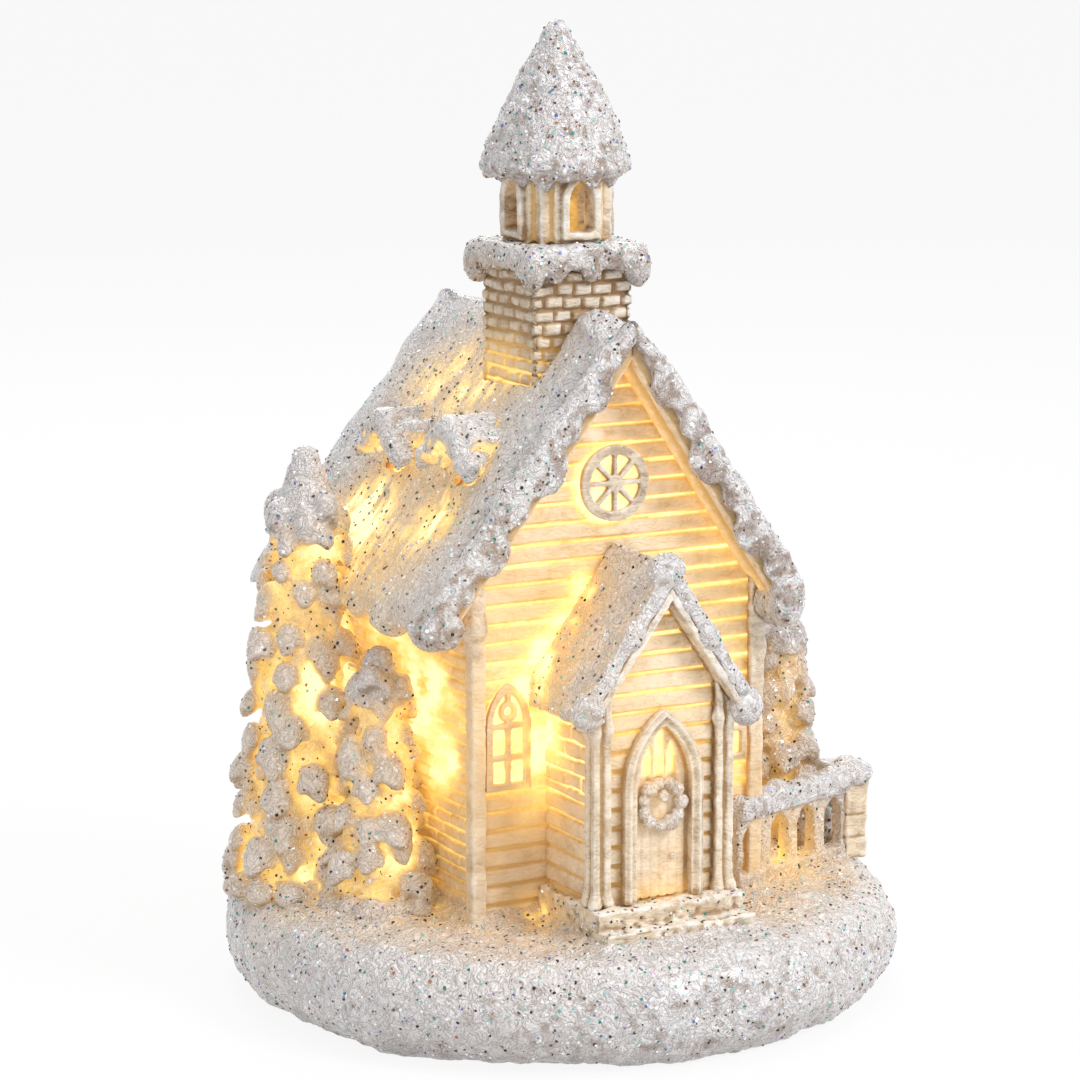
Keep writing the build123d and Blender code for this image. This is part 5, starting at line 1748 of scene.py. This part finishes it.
def fir(node, foot_rim, top_rim, clumps, clump_size, shine, stain_and_shade, seed):
    """Fir of paws round a glowing core, under a rounded hood; shine is the light between the paws."""
    middle = tree_middle(node)
    low, high = box(node)
    height = high[2] - low[2]
    body = 0.8 * height
    values = {
        "Clumps": clumps, "Height": body * MM, "Foot Rim": (foot_rim - 0.8) * MM,
        "Top Rim": (top_rim - 1.8) * MM, "Clump Size": clump_size * MM, "Seed": seed,
    }
    knobs = {
        "Clumps": 2 * clumps, "Foot Rim": (foot_rim - 3.0) * MM, "Top Rim": (top_rim - 4.2) * MM,
        "Clump Size": 0.5 * clump_size * MM, "Seed": seed + 40,
    }
    shape = bmesh.new()
    for layer in (values, {**values, **knobs}):
        mesh = grow(fir_rule, layer)
        mesh.transform(Matrix.Translation(Vector((middle[0], middle[1], low[2] + 5.0)) * MM))
        shape.from_mesh(mesh)
    stem = Matrix.Translation(Vector((middle[0], middle[1], low[2] + height / 2 - 2)) * MM)
    core_foot, core_top = foot_rim - 4.0, top_rim * 0.4
    bmesh.ops.create_cone(
        shape, cap_ends=True, segments=40, radius1=core_foot * MM, radius2=core_top * MM,
        depth=(height - 6) * MM, matrix=stem,
    )
    for number in range(14):
        angle = 2 * math.pi * number / 14 + 0.1 * math.sin(7.0 * number)
        reach = foot_rim - 2.2 + 0.8 * math.sin(3.0 * number)
        spot = (middle[0] + reach * math.cos(angle), middle[1] + reach * math.sin(angle), low[2] + 1.5)
        add_lump(shape, spot, (4.2, 4.2, 3.2 + 0.8 * math.sin(5.0 * number)))
    hood = 0.95 * top_rim
    draw = np.random.default_rng(seed)
    for number in range(7):
        angle = 2 * math.pi * (number + draw.uniform(-0.2, 0.2)) / 7 + seed
        reach = 0.68 * hood
        drop = (0.16 + draw.uniform(-0.015, 0.02)) * height
        spot = (middle[0] + reach * math.cos(angle), middle[1] + reach * math.sin(angle), high[2] - drop)
        add_lump(shape, spot, (0.36 * hood, 0.36 * hood, 0.5 * hood))
    cap = Matrix.Translation(Vector((middle[0], middle[1], high[2] - 0.085 * height - 2.6)) * MM)
    bmesh.ops.create_cone(
        shape, cap_ends=True, segments=32, radius1=0.95 * hood * MM, radius2=2.7 * MM,
        depth=0.17 * height * MM, matrix=cap,
    )
    add_lump(shape, (middle[0], middle[1], high[2] - 3.2), (3.2, 3.2, 3.2))
    skin = wrap(shape, 0.62)
    skin.relax(1)
    points = skin.points
    skin.push(0.25 * crumbs(points, seed + 1) + 0.4 * np.abs(noise(points, 3.6, seed + 9)) - 0.15)
    share = np.clip((points[:, 2] - low[2]) / height, 0, 1)
    core = core_foot + (core_top - core_foot) * share
    reach = np.hypot(points[:, 0] - middle[0], points[:, 1] - middle[1])
    between = (1 - blend(core + 0.6, core + 4.0, reach)) * (1 - blend(0.8, 0.86, share))
    hollow = skin.hollow(6)
    # Painted shade: the undersides of the paws and their hollows are darkened brown, less so between the paws
    # where the light comes through.
    under = 0.8 * blend(0.0, 0.8, -skin.normals()[:, 2])
    under += 0.55 * (1 - blend(-0.4, 0.5, skin.normals()[:, 2]))
    pit = (blend(0.05, 0.3, hollow) + under) * (0.75 + 0.75 * noise(points, 2.3, seed + 5))
    pit = blend(0.3, 1.0, pit) * (1 - 0.8 * between)
    pit += stain_and_shade * (0.7 + 0.7 * noise(points, 3.0, seed + 3))
    toward = ((points - middle)[:, :2] @ np.array([0.88, -0.47])) / np.maximum(reach, 1.0)
    patchy = 0.85 + 0.45 * noise(points, 11.0, seed + 7) + 0.3 * noise(points, 3.0, seed + 8)
    patchy = patchy * (0.65 + 0.45 * blend(-0.7, 0.5, toward))
    through = 0.45 * warmth(points, 0.9) * (0.6 + 0.7 * noise(points, 2.5, seed + 6))
    clear = 1 - blend(0.7, 0.84, share)
    light = np.maximum(0.86 * shine * between * patchy, through - 0.12) + 0.09 * shine * clear * (1 - between)
    # Painted lamp light: a warm tint near the glowing core and the warm places.
    tint = 0.45 * shine * clear * (1 - blend(core + 1.0, core + 6.5, reach)) + 0.25 * warmth(points, 1.4)
    skin.store(pit=pit, warm=0.3 * between * shine + tint + 0.1 * clear, glow=light)
    return finish_piece(node + "_clumps", skin, snow_crust, [node])


snow_pieces["firs"] = [
    fir("tall_tree", 19.0, 10.5, 96, 3.7, 1.0, 0.2, 251),
    fir("small_tree", 12.6, 8.0, 42, 3.6, 0.85, 0.2, 261),
    fir("side_tree", 13.5, 8.0, 38, 3.8, 0.4, 0.6, 271),
]

# %% [markdown]
# The mound is a hollow cushion of snow. Its outer skin is a grid swept round the axis with
# broad swells, crumbs, and drifts that climb the walls, the steps and the firs. Its inside
# repeats the packed hollow with the recess for the cover.

# %% Mound
foot_radius = 66.0
widest = (mound_high[0] - mound_low[0]) / 2
widest_z = 13.0
plateau = 74.0
light_hole = 11.0
hole_centre = np.array(box("led_mast")).mean(axis=0)[:2]


def gap_to_box(points, low, high):
    """Distance in plan from each point to a rectangle."""
    beside = np.maximum(np.maximum(low[:2] - points[:, :2], points[:, :2] - high[:2]), 0)
    return np.hypot(beside[:, 0], beside[:, 1])


def drift(points):
    """Height of snow that has blown against what stands on the plateau."""
    total = np.zeros(len(points))
    house = (np.array([left_x, front_y]), np.array([right_x, rear_y]))
    steps = box("porch_steps")
    for low, high, height, reach in ((*house, 3.2, 4.0), (steps[0], steps[1], 2.2, 3.0)):
        total = np.maximum(total, height * np.exp(-gap_to_box(points, low, high) / reach))
    for node, radius in (("tall_tree", 15.0), ("small_tree", 10.0), ("side_tree", 9.0)):
        middle = tree_middle(node)[:2]
        gap = np.maximum(np.hypot(*(points[:, :2] - middle).T) - radius, 0)
        total = np.maximum(total, 4.0 * np.exp(-gap / 4.0))
    rail_low, rail_high = box("balustrade_front")
    total = np.maximum(total, 1.8 * np.exp(-gap_to_box(points, rail_low, rail_high) / 2.5))
    for spot in ((-54, -31), (38, -48), (57, 22), (0, 60.5)):
        gap = np.hypot(*(points[:, :2] - spot).T)
        total = np.maximum(total, 1.6 * (1 - blend(0.0, 11.0, gap)))
    return total


def mound():
    """Outer grid and inner grid of the mound, joined at the hole and at the foot."""
    columns = 512
    angle = np.arange(columns) * 2 * math.pi / columns
    brow = plateau - 4.0
    top = [(light_hole + (brow - light_hole) * share, floor_z) for share in np.linspace(0, 1, 62)]
    shoulder = []
    for turn in np.linspace(0, math.pi / 2, 30)[1:]:
        radius = brow + (widest - brow) * math.sin(turn)
        shoulder.append((radius, widest_z + (floor_z - widest_z) * math.cos(turn)))
    belly = []
    for turn in np.linspace(0, math.pi / 2, 24)[1:]:
        belly.append((foot_radius + (widest - foot_radius) * math.cos(turn), widest_z * (1 - math.sin(turn))))
    outline = np.array(top + shoulder + belly)
    rows = len(outline)
    hole_pull = np.clip(1 - np.arange(rows) / len(top), 0, 1)
    spread = np.stack([np.cos(angle), np.sin(angle)], axis=-1)
    flat = outline[:, 0][:, None, None] * spread[None] + hole_pull[:, None, None] * hole_centre
    levels = np.broadcast_to(outline[:, 1][:, None, None], flat.shape[:2] + (1,))
    outer = np.concatenate([flat, levels], axis=-1)
    inside = [(light_hole, 20.0), (66.0, 20.0), (71.0, 13.0), (55.0, 3.8), (58.3, 3.8), (58.3, 0.0)]
    inner_rows = []
    for number, (radius, z) in enumerate(inside):
        ring = radius * spread + (hole_centre if number == 0 else 0.0)
        inner_rows.append(np.concatenate([ring, np.full((columns, 1), z)], axis=-1))
    loop = np.concatenate([outer, np.stack(inner_rows[::-1])])
    total = len(loop)
    index = np.arange(total * columns).reshape(total, columns)
    index = np.concatenate([index, index[:, :1]], axis=1)
    index = np.concatenate([index, index[:1]], axis=0)
    quads = grid_quads(index)
    mesh = bpy.data.meshes.new("mound")
    mesh.from_pydata((loop.reshape(-1, 3) * MM).tolist(), [], quads.tolist())
    shape = bmesh.new()
    shape.from_mesh(mesh)
    bmesh.ops.recalc_face_normals(shape, faces=shape.faces)
    shape.to_mesh(mesh)
    shape.free()
    skin = Skin(mesh)
    points = skin.points
    ring = np.repeat(np.arange(total), columns)
    fade = blend(0, 6, ring) * (1 - blend(rows - 5, rows - 1, ring)) * (ring < rows)
    up = (ring < len(top)) * fade
    side = blend(len(top) - 8, len(top) + 8, ring) * fade
    swell = 0.9 * noise(points, 26.0, 281) + 0.55 * noise(points, 10.0, 282)
    rise = drift(points) * up
    skin.push(fade * (swell * (0.4 + 0.6 * side) + 0.5 * crumbs(points, 283)))
    skin.points[:, 2] = np.maximum(skin.points[:, 2] + rise, 0)
    mark_snow(skin, 285)
    return crust("base_mound", skin)


snow_pieces["mound"] = [mound()]

# %% [markdown]
# Glitter flakes are tiny six-sided plates stuck on the snow. A geometry tree scatters them on
# a piece's faces, turns each one nearly flat to the surface and gives it a random number, which
# the material turns into its colour.

# %% Glitter


def flake_material():
    """Dark, teal, violet, blue and white flakes by their random number."""
    material, graph, shader = new_material("glitter_flakes")
    draw = graph.field("tint")
    stops = [
        (0.0, shade(58, 48, 42)), (0.15, shade(110, 88, 68)), (0.27, shade(52, 138, 128)),
        (0.37, shade(150, 206, 204)), (0.48, shade(96, 116, 178)), (0.54, shade(172, 138, 186)),
        (0.6, shade(170, 112, 84)), (0.65, shade(246, 248, 250)),
    ]
    place = graph.node("ShaderNodeTexCoord", None, None, "Object")
    colour = graph.ramp(draw, stops)
    material.node_tree.nodes[colour.socket.node.name].color_ramp.interpolation = "CONSTANT"
    worn = graph.spots(place, 2600.0)
    feed(graph, shader, Base_Color=colour, Roughness=0.16 + 0.2 * worn, Metallic=0.35)
    return material


glitter_flakes = flake_material()


def glitter_tree():
    """Flakes scattered on the faces of the mesh that comes in."""
    inputs = {"Density": ("Float", 1.0e5), "Flake Size": ("Float", 0.00032), "Seed": ("Int", 1)}
    graph, wire = geometry_tree("glitter", inputs)
    scatter = {"Mesh": wire["Geometry"], "Density": wire["Density"], "Seed": wire["Seed"]}
    points = graph.node("GeometryNodeDistributePointsOnFaces", {"distribute_method": "RANDOM"}, scatter)
    facing = Wire(graph, points.socket.node.outputs["Rotation"])
    plate = graph.node(
        "GeometryNodeMeshCylinder", None,
        {"Vertices": 6, "Radius": wire["Flake Size"], "Depth": wire["Flake Size"] * 0.45}, "Mesh",
    )
    lean, spin = 0.6, 3.1
    limits = {0: (-lean, -lean, -spin), 1: (lean, lean, spin), 8: wire["Seed"] + 1}
    tilt = graph.node("FunctionNodeRandomValue", {"data_type": "FLOAT_VECTOR"}, limits)
    size = random_value(graph, 0.55, 1.4, wire["Seed"] + 2)
    stuck = {"Points": points, "Instance": plate, "Rotation": facing, "Scale": size}
    flakes = graph.node("GeometryNodeInstanceOnPoints", None, stuck)
    turned = graph.node("GeometryNodeRotateInstances", None, {"Instances": flakes, "Rotation": tilt})
    drawn = random_value(graph, 0.0, 1.0, wire["Seed"] + 3)
    named = graph.node(
        "GeometryNodeStoreNamedAttribute", {"data_type": "FLOAT", "domain": "INSTANCE"},
        {"Geometry": turned, "Name": "tint", "Value": drawn},
    )
    end_tree(graph, named, glitter_flakes)
    return graph.tree


glitter_rule = glitter_tree()


def scatter_glitter(group, density, seed):
    """One piece of flakes over all pieces of a group; density is in flakes per square millimetre."""
    joined = bmesh.new()
    for number, piece in enumerate(snow_pieces[group]):
        outside = bmesh.new()
        outside.from_mesh(piece.data)
        outside.faces.ensure_lookup_table()
        hidden = [outside.faces[index] for index in np.flatnonzero(~shows(piece.data))]
        bmesh.ops.delete(outside, geom=hidden, context="FACES")
        bed = bpy.data.meshes.new("bed")
        outside.to_mesh(bed)
        outside.free()
        flakes = grow(glitter_rule, {"Density": density / MM**2, "Seed": seed + 10 * number}, bed)
        joined.from_mesh(flakes)
    mesh = bpy.data.meshes.new(group + "_glitter")
    joined.to_mesh(mesh)
    joined.free()
    mesh.materials.append(glitter_flakes)
    piece = bpy.data.objects.new(group + "_glitter", mesh)
    bpy.context.scene.collection.objects.link(piece)
    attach(piece, "ornament")
    print(piece.name, len(mesh.polygons) // 8, "flakes")


def shows(mesh):
    """True for faces that can be seen: not inside the chapel, under a roof or in the foot."""
    centres, normals = np.empty((2, 3 * len(mesh.polygons)))
    mesh.polygons.foreach_get("center", centres)
    mesh.polygons.foreach_get("normal", normals)
    x, y, z = centres.reshape(-1, 3).T / MM
    inside_house = (left_x < x) & (x < right_x) & (front_y < y) & (y < rear_y) & (z < slope_z(x, slab_depth))
    in_foot = (z < 1.2) | (z < 21) & (np.hypot(x, y) < 62)
    return ~inside_house & ~in_foot & (normals.reshape(-1, 3)[:, 2] > -0.75)


for group, density, seed in (
    ("roof", 0.17, 301), ("dormers", 0.15, 331), ("tower", 0.26, 361), ("porch", 0.17, 391),
    ("balustrade", 0.1, 421), ("firs", 0.14, 451), ("mound", 0.17, 481), ("steps", 0.25, 511),
):
    scatter_glitter(group, density, seed)

# %% [markdown]
# What is under the foot and inside keeps its packed shape: the cover, the battery flap, the
# switch, the cells and the lamp. Each gets a plain technical finish with a little variation.

# %% Foot and electrics


def moulded(name, dark, light, roughness):
    """Moulded plastic with a fine texture."""
    material, graph, shader = new_material(name)
    place = graph.node("ShaderNodeTexCoord", None, None, "Object")
    grain = graph.spots(place, 1800.0, 3.0)
    cloud = graph.spots(place, 90.0)
    bump = graph.node("ShaderNodeBump", None, {"Height": grain, "Strength": 0.25, "Distance": 0.0002})
    colour = graph.mix(cloud, dark, light)
    feed(graph, shader, Base_Color=colour, Normal=bump, Roughness=roughness + 0.15 * grain)
    return material


def metal(name, dark, light, roughness):
    """Bare metal with faint brushing."""
    material, graph, shader = new_material(name)
    place = graph.node("ShaderNodeTexCoord", None, None, "Object")
    squeezed = graph.node("ShaderNodeMapping", None, {"Vector": place, "Scale": (0.1, 1.0, 1.0)})
    brushed = graph.spots(squeezed, 2400.0, 3.0)
    colour = graph.mix(brushed, dark, light)
    feed(graph, shader, Base_Color=colour, Metallic=1.0, Roughness=roughness + 0.2 * brushed)
    return material


def lamp_lens():
    """Warm light diode."""
    material, graph, shader = new_material("led_lens")
    place = graph.node("ShaderNodeTexCoord", None, None, "Object")
    haze = graph.spots(place, 700.0)
    colour = graph.mix(haze, shade(255, 208, 120), shade(255, 244, 214))
    feed(graph, shader, Base_Color=colour, Emission_Color=colour, Emission_Strength=1.2, Roughness=0.2)
    return material


cover_plastic = moulded("cover_plastic", shade(206, 202, 196), shade(226, 223, 218), 0.45)
foot_finishes = {
    "bottom_cover": cover_plastic,
    "battery_door": cover_plastic,
    "battery_box": cover_plastic,
    "switch_body": moulded("switch_plastic", shade(34, 34, 36), shade(52, 52, 55), 0.4),
    "led_mast": moulded("mast_plastic", shade(222, 220, 214), shade(240, 238, 233), 0.4),
    "led_board": moulded("board_laminate", shade(32, 92, 52), shade(44, 116, 66), 0.35),
    "leds": lamp_lens(),
    "cover_screws": metal("screw_steel", shade(150, 150, 154), shade(196, 196, 200), 0.25),
    "plate_contacts": metal("contact_metal", shade(180, 176, 166), shade(214, 210, 200), 0.2),
    "battery_cells": moulded("cell_wrap", shade(58, 62, 68), shade(84, 90, 98), 0.3),
    "switch_leads": moulded("lead_jacket", shade(132, 24, 22), shade(160, 34, 30), 0.4),
}
foot_finishes["switch_knob"] = foot_finishes["switch_body"]
foot_finishes["spring_contacts"] = foot_finishes["plate_contacts"]
foot_finishes["led_leads"] = foot_finishes["switch_leads"]
for node, material in foot_finishes.items():
    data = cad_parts[node].data
    data.materials.clear()
    data.materials.append(material)
print("finished", len(foot_finishes), "packed solids")

# %% [markdown]
# Studio: a pale floor, a white surround and four soft lamps. The camera sees the surround and
# the floor as white, while the light that falls on the chapel stays at a plain level.

# %% Floor, surround and lamps


def seen_rays(graph):
    """1 for rays from the camera, off a glossy face or through a clear one, 0 for all others."""
    path = graph.node("ShaderNodeLightPath", None, None, "Is Camera Ray")
    total = path + Wire(graph, path.socket.node.outputs["Is Glossy Ray"])
    total = total + Wire(graph, path.socket.node.outputs["Is Transmission Ray"])
    return total.clamped()


floor_mesh = bpy.data.meshes.new("floor")
floor_half = 14.0
signs = ((-1, -1), (1, -1), (1, 1), (-1, 1))
corners = [(x * floor_half, y * floor_half, 0.0) for x, y in signs]
floor_mesh.from_pydata(corners, [], [(0, 1, 2, 3)])
floor_object = bpy.data.objects.new("studio_floor", floor_mesh)
bpy.context.scene.collection.objects.link(floor_object)
floor_paint = bpy.data.materials.new("studio_floor")
floor_paint.use_nodes = True
paint = Graph(floor_paint.node_tree)
floor_paint.node_tree.nodes.clear()
pale = paint.node("ShaderNodeBsdfDiffuse", None, {"Color": shade(238, 238, 238)})
white = paint.node("ShaderNodeEmission", None, {"Color": (1.0, 1.0, 1.0, 1.0), "Strength": 1.0})
share = seen_rays(paint) * 0.9
both = paint.node("ShaderNodeMixShader", None, {0: share, 1: pale, 2: white})
floor_out = floor_paint.node_tree.nodes.new("ShaderNodeOutputMaterial")
floor_paint.node_tree.links.new(both.socket, floor_out.inputs["Surface"])
floor_mesh.materials.append(floor_paint)

world = bpy.data.worlds.new("studio")
world.use_nodes = True
bpy.context.scene.world = world
sky = Graph(world.node_tree)
world.node_tree.nodes.clear()
dim = sky.node("ShaderNodeBackground", None, {"Color": (1.0, 1.0, 1.0, 1.0), "Strength": 0.47})
bright = sky.node("ShaderNodeBackground", None, {"Color": (1.0, 1.0, 1.0, 1.0), "Strength": 1.0})
mixed = sky.node("ShaderNodeMixShader", None, {0: seen_rays(sky), 1: dim, 2: bright})
world_out = world.node_tree.nodes.new("ShaderNodeOutputWorld")
world.node_tree.links.new(mixed.socket, world_out.inputs["Surface"])


def lamp(name, place, size, power):
    """Soft square lamp that looks at the chapel's middle."""
    data = bpy.data.lights.new(name, "AREA")
    data.size = size
    data.energy = power
    made = bpy.data.objects.new(name, data)
    made.location = place
    made.rotation_euler = (Vector(place) - target).to_track_quat("Z", "Y").to_euler()
    bpy.context.scene.collection.objects.link(made)


lamp("key_lamp", (0.55, -0.95, 0.95), 0.5, 10.5)
lamp("top_lamp", (0.0, -0.2, 1.3), 0.8, 4.5)
lamp("fill_lamp", (-0.9, -0.7, 0.6), 0.8, 2.0)
lamp("rim_lamp", (0.3, 0.9, 0.9), 0.7, 5.0)
bpy.context.scene.view_settings.view_transform = "Standard"
print("studio ready")

# %% [markdown]
